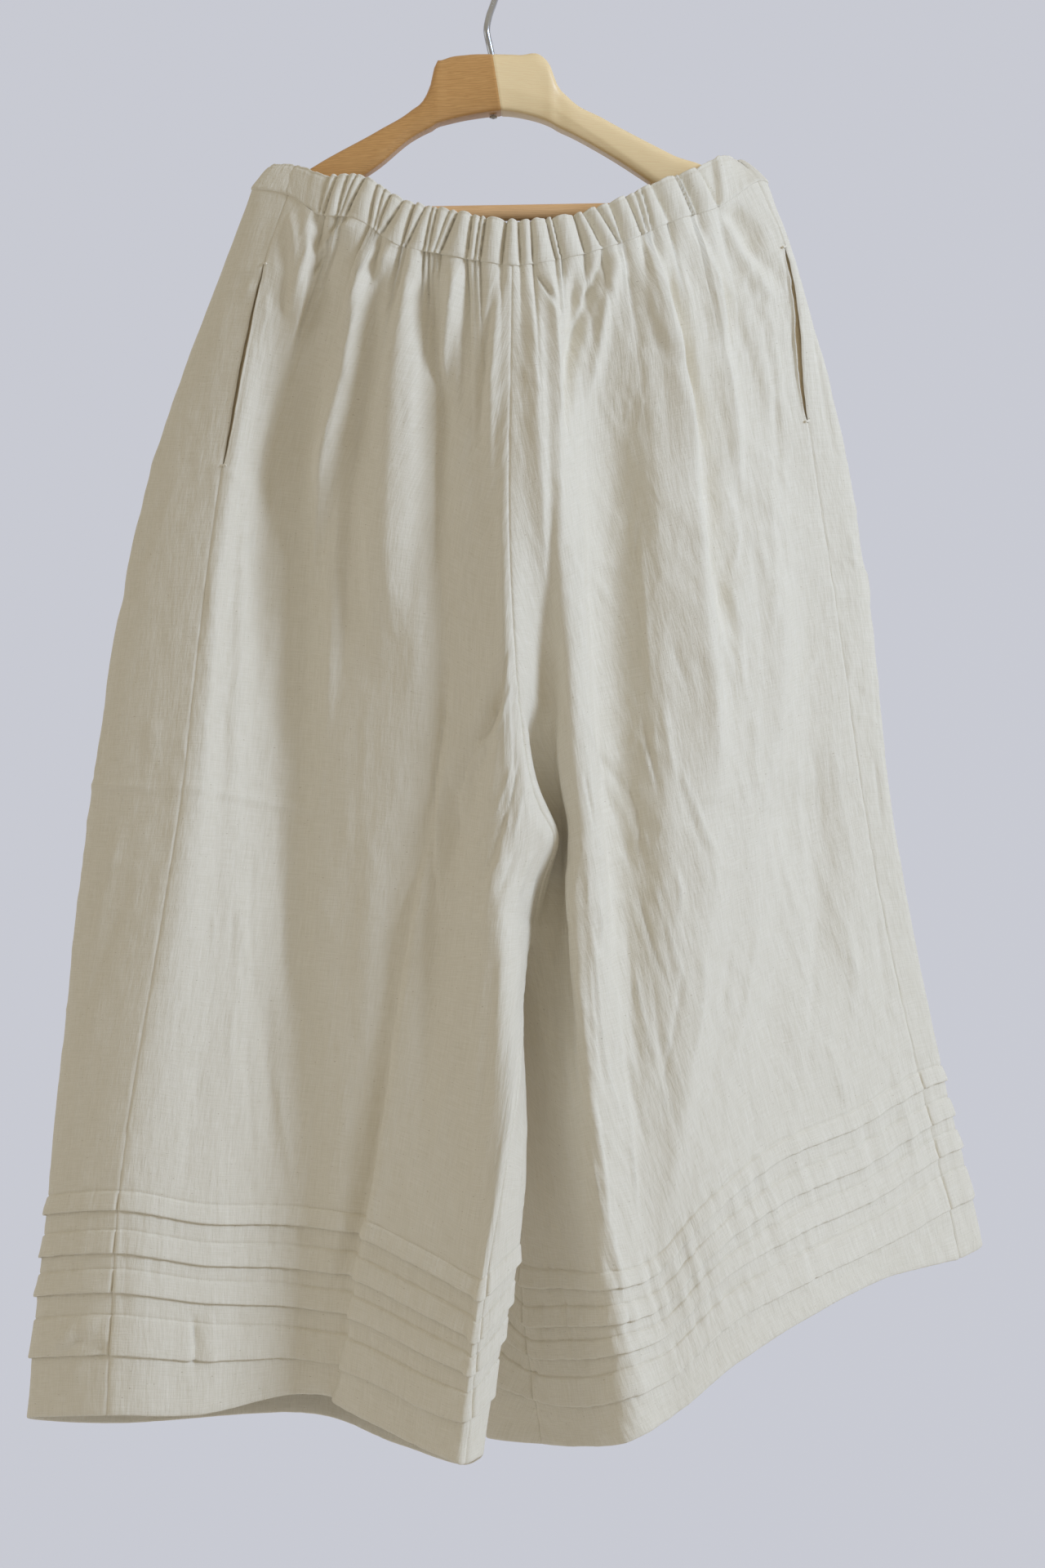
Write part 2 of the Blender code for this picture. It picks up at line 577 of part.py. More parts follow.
def band(name, panels, grids, lean, made):
    """A waistband strip: its lower edge on the top of the panels, puffed by the elastic."""
    cloth_at, at = band_places(panels)
    seam, out = (np.concatenate((grids[panels[0]][k][0], grids[panels[1]][k][0][::-1][1:]))
                 for k in (0, 1))
    seam, out = (np.stack([np.interp(at, cloth_at, line[:, k]) for k in range(3)], axis=1)
                 for line in (seam, out))
    out = level(out)
    ring = waist_ring(panels, at)
    length = np.concatenate(([0.0], np.cumsum(np.linalg.norm(np.diff(ring, axis=0), axis=1))))
    lean = np.array(lean, float)
    step = hermite(lean[:, 0], lean[:, 1:], length / length[-1])
    puff = puffs(ring[:, 0], valleys_of(panels[0]), 4.2)
    rows = [seam + (0.0, 0.0, SEAM_GAP)]
    for share_up, swell in ((0.45, 1.1), (1.0, 0.9)):
        row = ring + step * share_up + out * (puff * swell)[:, None]
        row[:, 2] += share_up * 0.28 * puff
        rows.append(row)
    rows = np.array(rows)
    for column, inner in ((0, 1), (-1, -2)):
        inward = unit(rows[:, inner] - rows[:, column])
        rows[:, column] += inward * 0.6 * SEAM_GAP
    outer = rows + out[None] * 0.5 * BAND_CLOTH
    inner = rows - out[None] * 0.5 * BAND_CLOTH
    return solid(name, outer, inner, made)


def hanger(made):
    """Contoured wooden arms: a rounded section at each place along x."""
    sides = 14
    verts = []
    for x, top, low, thick, middle in HANGER:
        high = 0.5 * (top - low)
        for k in range(sides):
            angle = 2 * np.pi * (k + 0.5) / sides
            c = np.cos(angle)
            s = np.sin(angle)
            y = middle + 0.5 * thick * np.sign(c) * abs(c) ** 0.45
            z = 0.5 * (top + low) + high * np.sign(s) * abs(s) ** 0.45
            verts.append((x, y, z))
    faces = []
    count = len(HANGER)
    for r in range(count - 1):
        for k in range(sides):
            a = r * sides + k
            b = r * sides + (k + 1) % sides
            faces.append((a, b, b + sides, a + sides))
    faces.append(tuple(range(sides)))
    faces.append(tuple((count - 1) * sides + k for k in range(sides)))
    return add_mesh("hanger_arms", np.array(verts) * MM, faces, made)


def pocket_bag(panel, made):
    """A bag of two layers pressed flat, hung inside the front panel behind its pocket slit."""
    top, foot, reach = BAG
    v = np.linspace(top, foot, 9)
    f = (v - top) / (foot - top)
    depth = reach * np.sqrt(np.clip(1 - np.abs(2 * f - 1.05) ** 3, 0.12, 1))
    rows = []
    for row, down in enumerate(v):
        line = []
        for way, inward in ((0.0, BAG_ROOT[panel]), (0.12, 5.5), (0.4, 8.5), (0.7, 8.5), (1.0, 8.0)):
            u = 0.01 + (depth[row] - 0.01) * way
            near = base_surface(panel, np.array([u - 0.01, u, u + 0.01]), np.array([down, down + 0.01]))
            normal = np.cross(near[0, 2] - near[0, 0], near[1, 1] - near[0, 1])
            normal = unit(normal if normal[1] > 0 else -normal)
            line.append(near[0, 1] + normal * inward)
        rows.append(line)
    points = np.array(rows)
    normal = unit(np.cross(np.gradient(points, axis=1), np.gradient(points, axis=0)))
    wall = 0.5 * BAG_CLOTH * normal
    return solid("pocket_bag_" + panel.split("_")[1], points + wall, points - wall, made)


for old in list(bpy.data.objects):
    bpy.data.objects.remove(old)

cloth = material("cotton_cloth", (0.72, 0.69, 0.62), 0.9)
wood = material("hanger_wood", (0.50, 0.30, 0.15), 0.45)
steel = material("hook_steel", (0.62, 0.63, 0.65), 0.25, 1.0)

ROWS = (0.0, 0.010, 0.030, 0.060, 0.095, 0.135, 0.18, 0.222, 0.28, 0.34, 0.40, 0.455,
        0.50, 0.53, 0.56, CROTCH, 0.615, 0.665, 0.73, 0.785)
FRONT = ("front_left", "front_right")
BACK = ("back_left", "back_right")
cloth_grids = build_panels(ROWS, cloth)
band("front_waistband", FRONT, cloth_grids, FRONT_BAND, cloth)
band("back_waistband", BACK, cloth_grids, BACK_BAND, cloth)
pocket_bag("front_left", cloth)
pocket_bag("front_right", cloth)
arms = hanger(wood)
tube("hanger_bar", BAR_ENDS, 0.5 * BAR, 14, wood)
bore(arms, [(x + 0.3 * np.sign(x), y, z) for x, y, z in BAR_ENDS], 0.5 * BAR + SEAM_GAP, 14)
hook = hermite(range(len(HOOK)), HOOK, np.linspace(0, len(HOOK) - 1, 38))
tube("hanger_hook", hook, 0.5 * WIRE, 10, steel)
tube("hanger_screw", [(0, -1, SCREW_Z), (0, -1, SCREW_Z - 1.2)], 2.6, 12, steel)
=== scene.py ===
"""Looks of the culottes on their wooden hanger. Millimetres in the tables, metres in the scene."""
import math

import bpy
import numpy as np
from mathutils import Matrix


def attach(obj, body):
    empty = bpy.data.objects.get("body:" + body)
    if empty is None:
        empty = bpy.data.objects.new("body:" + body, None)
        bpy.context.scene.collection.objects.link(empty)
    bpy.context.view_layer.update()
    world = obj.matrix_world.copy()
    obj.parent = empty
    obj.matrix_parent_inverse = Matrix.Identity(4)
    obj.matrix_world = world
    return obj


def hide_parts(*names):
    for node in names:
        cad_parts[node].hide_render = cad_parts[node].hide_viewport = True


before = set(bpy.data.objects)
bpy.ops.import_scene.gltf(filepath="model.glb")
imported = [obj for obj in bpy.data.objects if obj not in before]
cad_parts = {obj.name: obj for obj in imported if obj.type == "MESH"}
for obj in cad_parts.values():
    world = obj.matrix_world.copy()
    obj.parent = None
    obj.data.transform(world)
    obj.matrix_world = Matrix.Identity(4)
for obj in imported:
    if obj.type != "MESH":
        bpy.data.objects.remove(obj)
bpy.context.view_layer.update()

MM = 0.001

# Real sizes, millimetres
LENGTH = 836.0         # cloth length from the waist seam to the hem
CROTCH = 0.585         # share of LENGTH
SLIT = (0.060, 0.222)  # pocket slit, top and foot, share of LENGTH
TUCKS = ((0.824, 0.839), (0.855, 0.873), (0.886, 0.904), (0.922, 0.953))
TUCK_RISE = 2.6        # two more layers at the open edge of a tuck
HEM_DEPTH = 39.0       # how far the hem is turned up inside
BAND_HALF = 1.5        # half the thickness of the waistband
GATHER_RISE = 4.2      # height of the puffs under the waist seam
PUFF = 4.4             # height of the waistband's puffs
BAND_COLUMNS = 430
HEM_INSIDE = -2.1      # how far inside the cloth the turned hem lies
BAR = 11.0             # diameter of the trouser bar
WIRE = 4.6             # diameter of the hook's wire
JOINT_X = -0.7         # where the two woods of the arms are glued, and where the left half's painted shade meets the right half's painted light

CRUSH = 0.0030         # depth of the fine wrinkles in the weave, metres
CREASE_GAIN = 1.2      # the creases against their rows
FOLD_FADE = 0.06       # share of a panel's width over which a large fold dies out at a seam
CREASE_FADE = 0.02     # the same for a crease

# How far down the cloth each station of the tables lies, as a share of LENGTH
STATIONS = (0.0, 0.22, 0.40, 0.585, 0.72, 1.0)     # waist, hip, seat, crotch, knee, hem

# Seam lines: down, x, y, z
LEFT_SIDE = (
    (0.000, -140, -12, -188), (0.060, -156, -15, -235), (0.220, -185, -9, -372),
    (0.400, -205, -6, -523), (0.490, -213, -6, -596), (0.585, -225, -5, -671),
    (0.830, -257, 0, -874), (1.000, -266, 4, -1023))
RIGHT_SIDE = (
    (0.000, 182, 6, -175), (0.060, 201, 10, -219), (0.220, 218, 22, -338),
    (0.400, 241, 44, -470), (0.585, 263, 68, -607), (0.720, 285, 90, -713),
    (0.830, 308, 112, -803), (1.000, 342, 145, -938))
CENTRE_FRONT = (
    (0.000, 13, -56, -244), (0.100, 12, -58, -313), (0.220, 11, -60, -411),
    (0.340, 15, -55, -497), (0.430, 21, -46, -560), (0.500, 29, -39, -606),
    (0.540, 36, -22, -636), (0.585, 28, 5, -684))
CENTRE_BACK = (
    (0.000, 13, 56, -250), (0.100, 13, 86, -312), (0.220, 13, 107, -387),
    (0.400, 18, 106, -556), (0.500, 22, 76, -634), (0.540, 25, 51, -658),
    (0.585, 28, 5, -684))
LEFT_INSEAM = (
    (0.585, 28, 5, -684), (0.640, 22, -18, -723), (0.720, 17, -38, -793),
    (0.830, -4, -52, -923), (1.000, -18, -58, -1042))
RIGHT_INSEAM = (
    (0.585, 28, 5, -684), (0.640, 28, 20, -726), (0.720, 20, 32, -806),
    (0.830, 19, 42, -931), (1.000, 33, 36, -1050))

# Lines down each panel between its seams: name, share of the way from the side seam
# to the centre, then x, y, z at the waist, hip, seat, crotch, knee and hem
FRONT_LEFT = (
    ("flank", 0.17, (-118, -26, -204), (-168, 0, -372), (-180, 8, -525),
     (-188, 10, -674), (-195, 12, -787), (-203, 16, -1025)),
    ("side valley", 0.34, (-92, -35, -209), (-143, 16, -373), (-147, 24, -528),
     (-149, 27, -678), (-147, 30, -792), (-137, 40, -1016)),
    ("thigh", 0.52, (-64, -43, -228), (-91, -12, -384), (-96, -3, -534),
     (-99, 6, -680), (-100, 9, -798), (-92, 2, -1024)),
    ("front", 0.70, (-35, -49, -235), (-42, -38, -398), (-42, -26, -546),
     (-44, -20, -684), (-49, -21, -803), (-52, -30, -1036)),
    ("inner front", 0.87, (-7, -54, -241), (-2, -54, -416), (1, -50, -560),
     (8, -50, -680), (-1, -46, -809), (-28, -56, -1040)))
FRONT_RIGHT = (
    ("flank", 0.14, (154, -12, -196), (186, 6, -346), (201, 18, -480),
     (214, 38, -624), (236, 57, -737), (285, 100, -944)),
    ("outer front", 0.29, (124, -27, -208), (150, -14, -359), (161, -9, -495),
     (169, 4, -638), (181, 21, -754), (227, 50, -961)),
    ("front", 0.44, (94, -39, -223), (112, -35, -370), (118, -32, -510),
     (125, -25, -651), (132, -12, -774), (169, 10, -988)),
    ("thigh", 0.59, (65, -49, -234), (80, -31, -380), (83, -28, -518),
     (91, -25, -662), (95, -23, -795), (126, -14, -1017)),
    ("inner ridge", 0.74, (39, -54, -241), (49, -53, -394), (53, -47, -530),
     (62, -40, -672), (65, -40, -804), (90, -34, -1033)),
    ("hollow", 0.88, (25, -56, -243), (31, -56, -402), (37, -23, -546),
     (46, 6, -680), (45, 0, -817), (57, 8, -1045)))
BACK_LEFT = (
    ("outer fold", 0.15, (-166, 6, -181), (-236, 22, -369), (-269, 29, -528),
     (-290, 36, -670), (-303, 39, -787), (-328, 48, -1034)),
    ("outer back", 0.32, (-131, 36, -192), (-200, 76, -369), (-224, 84, -526),
     (-240, 88, -675), (-248, 90, -795), (-266, 88, -1046)),
    ("back", 0.50, (-83, 49, -214), (-121, 95, -373), (-131, 103, -534),
     (-137, 102, -681), (-138, 96, -804), (-136, 84, -1038)),
    ("inner back", 0.68, (-42, 54, -236), (-45, 106, -378), (-45, 107, -543),
     (-48, 90, -684), (-55, 62, -812), (-66, 38, -1050)),
    ("seat", 0.84, (-13, 56, -247), (-5, 107, -385), (0, 106, -555),
     (-2, 60, -686), (3, 10, -815), (-18, -20, -1051)),
    ("inner edge", 0.94, (3, 56, -249), (5, 107, -387), (11, 105, -558),
     (12, 28, -690), (23, -12, -814), (-7, -46, -1039)))
BACK_RIGHT = (
    ("outer fold", 0.12, (189, 14, -176), (241, 38, -336), (266, 62, -469),
     (284, 84, -608), (306, 108, -714), (362, 165, -931)),
    ("outer back", 0.30, (163, 36, -184), (207, 88, -327), (231, 112, -466),
     (247, 138, -614), (268, 160, -729), (316, 205, -945)),
    ("back", 0.48, (115, 49, -212), (137, 103, -343), (148, 122, -495),
     (158, 142, -638), (173, 160, -759), (210, 190, -982)),
    ("inner back", 0.66, (69, 54, -234), (73, 106, -366), (78, 116, -525),
     (85, 125, -664), (92, 132, -799), (116, 150, -1029)),
    ("seat", 0.82, (40, 56, -246), (34, 107, -381), (39, 108, -549),
     (48, 72, -685), (31, 89, -818), (30, 102, -1053)),
    ("inner edge", 0.93, (23, 56, -249), (23, 107, -385), (27, 106, -555),
     (38, 32, -690), (14, 56, -817), (-4, 64, -1052)))

# How far each of those lines is pulled down the cloth at the first tuck and at the last one
SLIDES = {
    "front_left": ((5, 3), (8, 13), (3, 10), (12, 12), (21, 13)),
    "front_right": ((6, 13), (7, 13), (19, 9), (32, 13), (26, 10), (17, 11))}

# Pleats of the gathered front waistband: x of each valley at the waist seam, x at the top
# edge, and how deep it is pulled
FRONT_PLEATS = (
    (-118, -115, 0.9), (-115, -110, 0.6), (-105, -102, 0.5), (-103, -96, 0.4), (-100, -91, 0.8),
    (-83, -82, 0.9), (-80, -77, 0.7), (-78, -73, 0.9), (-76, -64, 0.5), (-61, -56, 1.0),
    (-59, -48, 0.6), (-46, -43, 0.7), (-43, -40, 0.7), (-39, -31, 0.5), (-36, -26, 0.9),
    (-17, -15, 0.8), (-12, -9, 0.7), (-9, -6, 0.7), (6, 9, 1.0), (19, 17, 0.9), (27, 26, 0.9),
    (43, 37, 0.5), (46, 41, 0.8), (62, 57, 0.9), (74, 63, 0.5), (85, 73, 0.8), (87, 82, 0.8),
    (101, 94, 0.9), (104, 100, 1.0), (107, 104, 0.5), (119, 111, 0.6), (136, 128, 0.8), (138, 130, 0.6),
    (154, 143, 1.0))
BACK_FOLDS = 1.45      # the folds of the hidden side against their rows
BACK_GATHERS = 17      # on the hidden side, uneven in the same way

# Waistband from lower edge to top edge: share of the way from the left side seam to the
# right one, then the step in x, y and z
FRONT_BAND = (
    (0.00, 4, 12, 22), (0.07, 4, 6, 27), (0.24, 4, 3, 31), (0.41, 1, 1, 30), (0.48, 0, 1, 30),
    (0.63, -3, 2, 28), (0.72, -4, 3, 30), (0.82, -4, 4, 30), (0.91, -4, 6, 33), (1.00, -13, 16, 17))
BACK_BAND = (
    (0.00, 4, 12, 22), (0.09, 15, 6, 18), (0.20, 9, -1, 28), (0.50, 0, -5, 31),
    (0.84, -9, -1, 30), (0.95, -16, 8, 18), (1.00, -13, 16, 17))

# Large folds of each panel. Columns: share across and share down, in thousandths, at the top,
# middle and bottom of the fold; half width towards the side seam; half width towards the
# centre; rise, or depth if it is a trough (millimetres)
FOLDS = {
    "front_left": (
        (60, 13, 135, 45, 195, 95, 6, 9, 5), (425, 13, 465, 113, 435, 297, 17, 4.5, 9.5),
        (575, 15, 600, 163, 600, 395, 16, 9, 10), (635, 13, 675, 158, 655, 362, 5, 13, -9),
        (945, 18, 910, 77, 865, 152, 8, 12, 2), (770, 7, 725, 65, 675, 128, 7, 6, 4.5),
        (695, 438, 560, 790, 190, 1250, 12, 4.5, -7.5), (690, 20, 715, 300, 700, 800, 8, 34, -8.5),
        (370, 140, 375, 480, 370, 880, 26, 14, -4.5), (910, 338, 785, 450, 720, 573, 9, 9, -4)),
    "front_right": (
        (640, 120, 625, 420, 590, 760, 34, 11, -9.5), (745, 13, 770, 158, 770, 345, 8, 10, 4.5),
        (625, 5, 690, 83, 735, 190, 6, 5, -5.5), (395, 18, 365, 130, 355, 370, 5, 15, 6.5),
        (360, 18, 330, 143, 335, 330, 5, 4.5, -6), (315, 15, 315, 103, 310, 200, 5, 6, 4.5),
        (195, 20, 220, 128, 240, 297, 5, 11, 5.5), (110, 7, 85, 28, 70, 62, 4, 5, -4.5),
        (90, 70, 85, 150, 90, 250, 7, 10, 2.5), (130, 247, 165, 408, 200, 562, 12, 16, 4),
        (375, 325, 345, 438, 325, 557, 9, 14, 4.5), (310, 230, 320, 318, 280, 410, 6, 6, -5),
        (160, 532, 205, 665, 290, 777, 18, 16, -4.5), (335, 547, 420, 698, 575, 835, 14, 14, 3.5)),
    "back_left": (
        (300, 10, 260, 140, 250, 360, 13, 7, 6), (440, 10, 420, 200, 400, 520, 9, 12, -6),
        (580, 10, 600, 120, 570, 300, 8, 13, 6), (720, 10, 700, 170, 660, 440, 9, 9, -5),
        (840, 10, 820, 120, 780, 260, 8, 8, 4), (340, 450, 380, 700, 460, 990, 22, 16, -6)),
    "back_right": (
        (240, 10, 250, 120, 220, 300, 9, 12, 6), (380, 10, 380, 180, 340, 470, 12, 8, -6),
        (520, 10, 500, 140, 520, 380, 12, 8, 6), (660, 10, 680, 160, 660, 350, 8, 10, -5),
        (800, 10, 800, 100, 770, 240, 8, 8, 4), (500, 420, 460, 680, 380, 990, 18, 24, -6))}

# Hanger arms, one row per section: x, top z, lower z, thickness, y of the middle
HANGER = (
    (-158, -192, -209, 11, 4.2), (-154, -187.5, -213, 13, 4.3), (-122, -166, -192, 17, 3.2),
    (-78, -142, -166, 19, 2), (-56, -129, -148, 20, 1), (-47, -121, -143, 21, 0),
    (-43, -112, -141, 22, 0), (-40, -99, -139, 22, -1), (-34, -95, -137, 22, -1),
    (-18, -92, -133, 23, -1), (0, -92, -131, 23, -1), (18, -92, -133, 23, -1),
    (34, -93, -137, 22, -1), (39, -99, -139, 22, -1), (43, -110, -141, 22, 0),
    (52, -121, -145, 21, 0), (75, -134, -157, 20, 2), (122, -158, -187, 18, 4),
    (156, -175, -208, 16, 5.1), (160, -180, -204, 13, 5.1))
BAR_ENDS = ((-146, 3.2, -200.5), (148, 5.0, -195.0))

# Hook wire from the neck round to its tip: x, y, z
HOOK = (
    (-1, 0, -90.9), (-2.5, 0, -84), (-4.5, -2, -74), (-3, 3, -63), (0, 11, -52), (3, 19, -40),
    (5, 23, -26), (4.5, 20, -12), (2.5, 11, -1), (0, 0, 2.3), (-2.5, -11, -1), (-4.5, -19, -10),
    (-5.5, -22, -21), (-5.5, -21, -30))

SEAMS = {
    "front_left": (LEFT_SIDE, CENTRE_FRONT, LEFT_INSEAM),
    "front_right": (RIGHT_SIDE, CENTRE_FRONT, RIGHT_INSEAM),
    "back_left": (LEFT_SIDE, CENTRE_BACK, LEFT_INSEAM),
    "back_right": (RIGHT_SIDE, CENTRE_BACK, RIGHT_INSEAM)}
LINES = {"front_left": FRONT_LEFT, "front_right": FRONT_RIGHT,
         "back_left": BACK_LEFT, "back_right": BACK_RIGHT}
# Neighbour across the side seam, across the centre seam and across the inseam
NEIGHBOURS = {
    "front_left": ("back_left", "front_right", "back_left"),
    "front_right": ("back_right", "front_left", "back_right"),
    "back_left": ("front_left", "back_right", "front_left"),
    "back_right": ("front_right", "back_left", "front_right")}

# Soft creases and small folds placed one by one, in the columns of FOLDS
CREASES = {
    "front_left": (
        (315, 3, 255, 20, 210, 40, 3, 9, 4.6), (245, 25, 225, 40, 215, 60, 4, 3, -3.6),
        (130, 0, 190, 40, 230, 128, 8, 2.8, 4.9), (175, 0, 225, 48, 260, 118, 2.5, 9, -3.8),
        (425, 7, 465, 113, 430, 292, 8, 2.6, 5.2), (450, 10, 490, 118, 455, 258, 2.5, 10, -4.3),
        (450, 242, 425, 285, 430, 312, 2.5, 2.2, 2.2), (500, 7, 475, 35, 455, 68, 5, 2.5, 3.5),
        (475, 143, 480, 290, 450, 468, 10, 3, 2.8), (495, 155, 500, 295, 475, 430, 2.5, 12, -2.2),
        (625, 5, 670, 128, 655, 417, 8, 2.4, 2.8), (725, 355, 690, 475, 705, 598, 14, 2.2, -4.2),
        (735, 410, 705, 512, 720, 598, 3, 9, 2), (965, 340, 820, 398, 720, 565, 7, 2.4, -3),
        (980, 370, 850, 395, 760, 525, 3, 9, 1.8), (945, 20, 900, 90, 865, 220, 7, 5, 1.6),
        (920, 20, 865, 83, 820, 168, 3, 6, -2.9), (770, 10, 735, 62, 700, 140, 5, 3, 3.5),
        (800, 7, 785, 60, 770, 147, 3, 5, -2.9), (705, 7, 695, 52, 685, 98, 4, 3, 2.6),
        (965, 450, 905, 475, 850, 503, 2.2, 3, -1.6), (925, 443, 875, 465, 835, 490, 3, 2.5, 1.4),
        (970, 473, 925, 495, 880, 520, 2.5, 3, 1.5), (875, 492, 845, 517, 820, 547, 3, 3, -1.4),
        (855, 527, 840, 550, 830, 575, 3, 4, 1.3), (905, 525, 880, 545, 850, 568, 3, 3, -1.4),
        (940, 532, 920, 552, 895, 575, 3, 3, 1.4), (185, 265, 190, 403, 190, 542, 9, 12, 1.6),
        (290, 253, 265, 343, 250, 438, 5, 7, -1.4), (330, 210, 325, 302, 300, 408, 6, 5, 1.5),
        (20, 300, 50, 408, 60, 510, 6, 8, 1.2), (345, 490, 350, 588, 355, 693, 7, 6, -2),
        (570, 497, 565, 603, 540, 718, 10, 12, 1.6), (615, 503, 605, 583, 605, 657, 7, 6, -1.4),
        (605, 688, 525, 820, 400, 922, 2.6, 10, -2.5), (630, 693, 545, 830, 420, 938, 2, 9, 1.8),
        (240, 578, 225, 677, 225, 772, 7, 9, 1.2), (310, 642, 305, 720, 310, 800, 5, 5, -1.2),
        (10, 838, 20, 890, 25, 940, 3, 3, -0.8), (620, 620, 590, 690, 550, 763, 5, 8, 1.4),
        (765, 618, 755, 693, 735, 777, 9, 9, 1.4), (835, 605, 840, 667, 840, 728, 5, 7, -1.4),
        (150, 915, 155, 935, 155, 965, 1.3, 3, -3)),
    "front_right": (
        (540, 3, 625, 52, 690, 103, 5, 2.6, -4.4), (495, 10, 580, 75, 645, 152, 6, 4, 3.9),
        (835, 10, 765, 30, 710, 55, 3, 3, -2.6), (660, 13, 660, 70, 695, 122, 4, 4, -3.1),
        (740, 15, 740, 95, 745, 190, 5, 5, 2.9), (395, 13, 410, 85, 370, 140, 9, 2.6, 3.9),
        (385, 30, 365, 122, 350, 263, 2.6, 9, 4.2), (355, 15, 340, 68, 335, 152, 2.6, 7, 3.4),
        (345, 35, 335, 118, 320, 230, 3, 3, -3.4), (325, 150, 325, 230, 320, 325, 3, 8, 2.4),
        (225, 13, 205, 58, 215, 140, 3, 8, 3.9), (205, 25, 190, 75, 200, 147, 3, 3, -2.9),
        (215, 140, 220, 193, 235, 260, 3, 6, 2), (130, 13, 95, 75, 55, 115, 3, 4, 3.1),
        (110, 13, 75, 65, 35, 95, 3, 3, -2.6), (125, 65, 110, 140, 115, 233, 4, 5, 2.3),
        (110, 83, 100, 158, 105, 265, 3, 4, -2), (345, 258, 340, 365, 330, 530, 2.4, 12, 2.5),
        (365, 270, 360, 370, 350, 495, 9, 3, 1.5), (265, 265, 255, 318, 280, 345, 1.8, 3, 1.3),
        (295, 290, 290, 335, 315, 375, 3.6, 3, -1.3), (280, 345, 265, 390, 275, 460, 1.8, 3, 1.3),
        (340, 355, 300, 415, 275, 453, 1.8, 2.4, 1.3), (425, 385, 410, 408, 395, 427, 1.8, 1.8, -1.3),
        (425, 500, 395, 545, 355, 593, 1.5, 3, -1.3), (415, 503, 380, 547, 340, 590, 1.8, 3.6, 1.3),
        (640, 460, 595, 490, 530, 525, 2.4, 3, -1.2), (685, 427, 645, 470, 605, 510, 2.4, 3, 1.1),
        (135, 352, 175, 480, 260, 603, 9, 12, 2.6), (55, 430, 85, 450, 115, 470, 2.4, 2.4, 1),
        (130, 500, 125, 573, 135, 655, 2.4, 3, 1.3), (85, 515, 85, 580, 85, 657, 2.4, 2.4, -1.3),
        (50, 512, 50, 580, 45, 652, 1.8, 2.4, 1.3), (150, 275, 165, 350, 200, 432, 3, 3, 1),
        (515, 273, 495, 357, 485, 445, 3.6, 3.6, 0.9), (690, 240, 670, 343, 645, 448, 5, 7, 1),
        (850, 18, 865, 182, 870, 325, 10, 12, 5), (365, 255, 360, 473, 350, 645, 14, 14, 2.5),
        (95, 542, 115, 645, 175, 735, 12, 12, -2.5), (760, 552, 750, 633, 730, 695, 2.5, 9, 2.7),
        (845, 545, 835, 630, 795, 693, 8, 5, -2.7), (730, 695, 705, 740, 710, 800, 3, 9, 2.6),
        (700, 785, 695, 828, 705, 890, 3, 8, 1.9), (560, 588, 515, 630, 455, 672, 1.8, 2.4, -1.3),
        (510, 585, 460, 635, 415, 685, 2.4, 2.4, 1.3), (575, 635, 545, 670, 505, 710, 2.4, 2.4, 1.2),
        (435, 650, 470, 690, 520, 723, 2.4, 2.4, -1.2), (390, 645, 405, 688, 450, 728, 2.4, 3, 1.2),
        (330, 647, 355, 703, 400, 748, 3, 3, -1.3), (255, 638, 300, 695, 350, 748, 3.6, 3, 1.3),
        (120, 657, 165, 715, 220, 787, 2.4, 2.4, -1.2), (70, 655, 85, 708, 110, 765, 2.4, 2.4, 1.1),
        (20, 672, 30, 730, 45, 790, 2.4, 2.4, -1.1), (675, 677, 650, 703, 620, 728, 1.8, 2.4, 1.1),
        (615, 728, 610, 755, 615, 785, 1.8, 1.8, 1.2), (75, 357, 115, 618, 155, 797, 14, 14, -3.2),
        (240, 297, 255, 485, 270, 688, 12, 16, 2.6), (930, 400, 925, 500, 905, 620, 11, 9, -9),
        (800, 400, 790, 520, 780, 700, 9, 8, 4)),
    "back_left": (
        (200, 20, 220, 100, 240, 220, 3, 8, 3), (360, 20, 380, 130, 360, 280, 8, 3, 2.8),
        (500, 30, 520, 200, 500, 450, 3, 10, 3), (650, 20, 660, 110, 640, 240, 8, 3, 2.6),
        (780, 20, 760, 140, 720, 300, 3, 6, -2.4), (300, 300, 330, 480, 350, 660, 3, 11, 2.6),
        (620, 360, 580, 520, 560, 720, 10, 3, 2.4), (800, 400, 740, 500, 700, 620, 4, 3, -2.6),
        (900, 460, 860, 520, 820, 580, 3, 3, -1.8)),
    "back_right": (
        (160, 20, 180, 120, 200, 260, 3, 8, 2.8), (320, 20, 330, 100, 310, 220, 8, 3, 2.6),
        (460, 30, 440, 180, 460, 400, 3, 9, 3), (600, 20, 620, 120, 610, 250, 7, 3, 2.6),
        (740, 20, 740, 130, 700, 270, 3, 6, -2.2), (400, 340, 440, 500, 470, 700, 9, 3, 2.6),
        (660, 380, 620, 540, 580, 740, 3, 10, 2.4), (840, 420, 800, 500, 760, 580, 3, 3, -2.4),
        (220, 400, 250, 560, 300, 750, 4, 8, 2))}

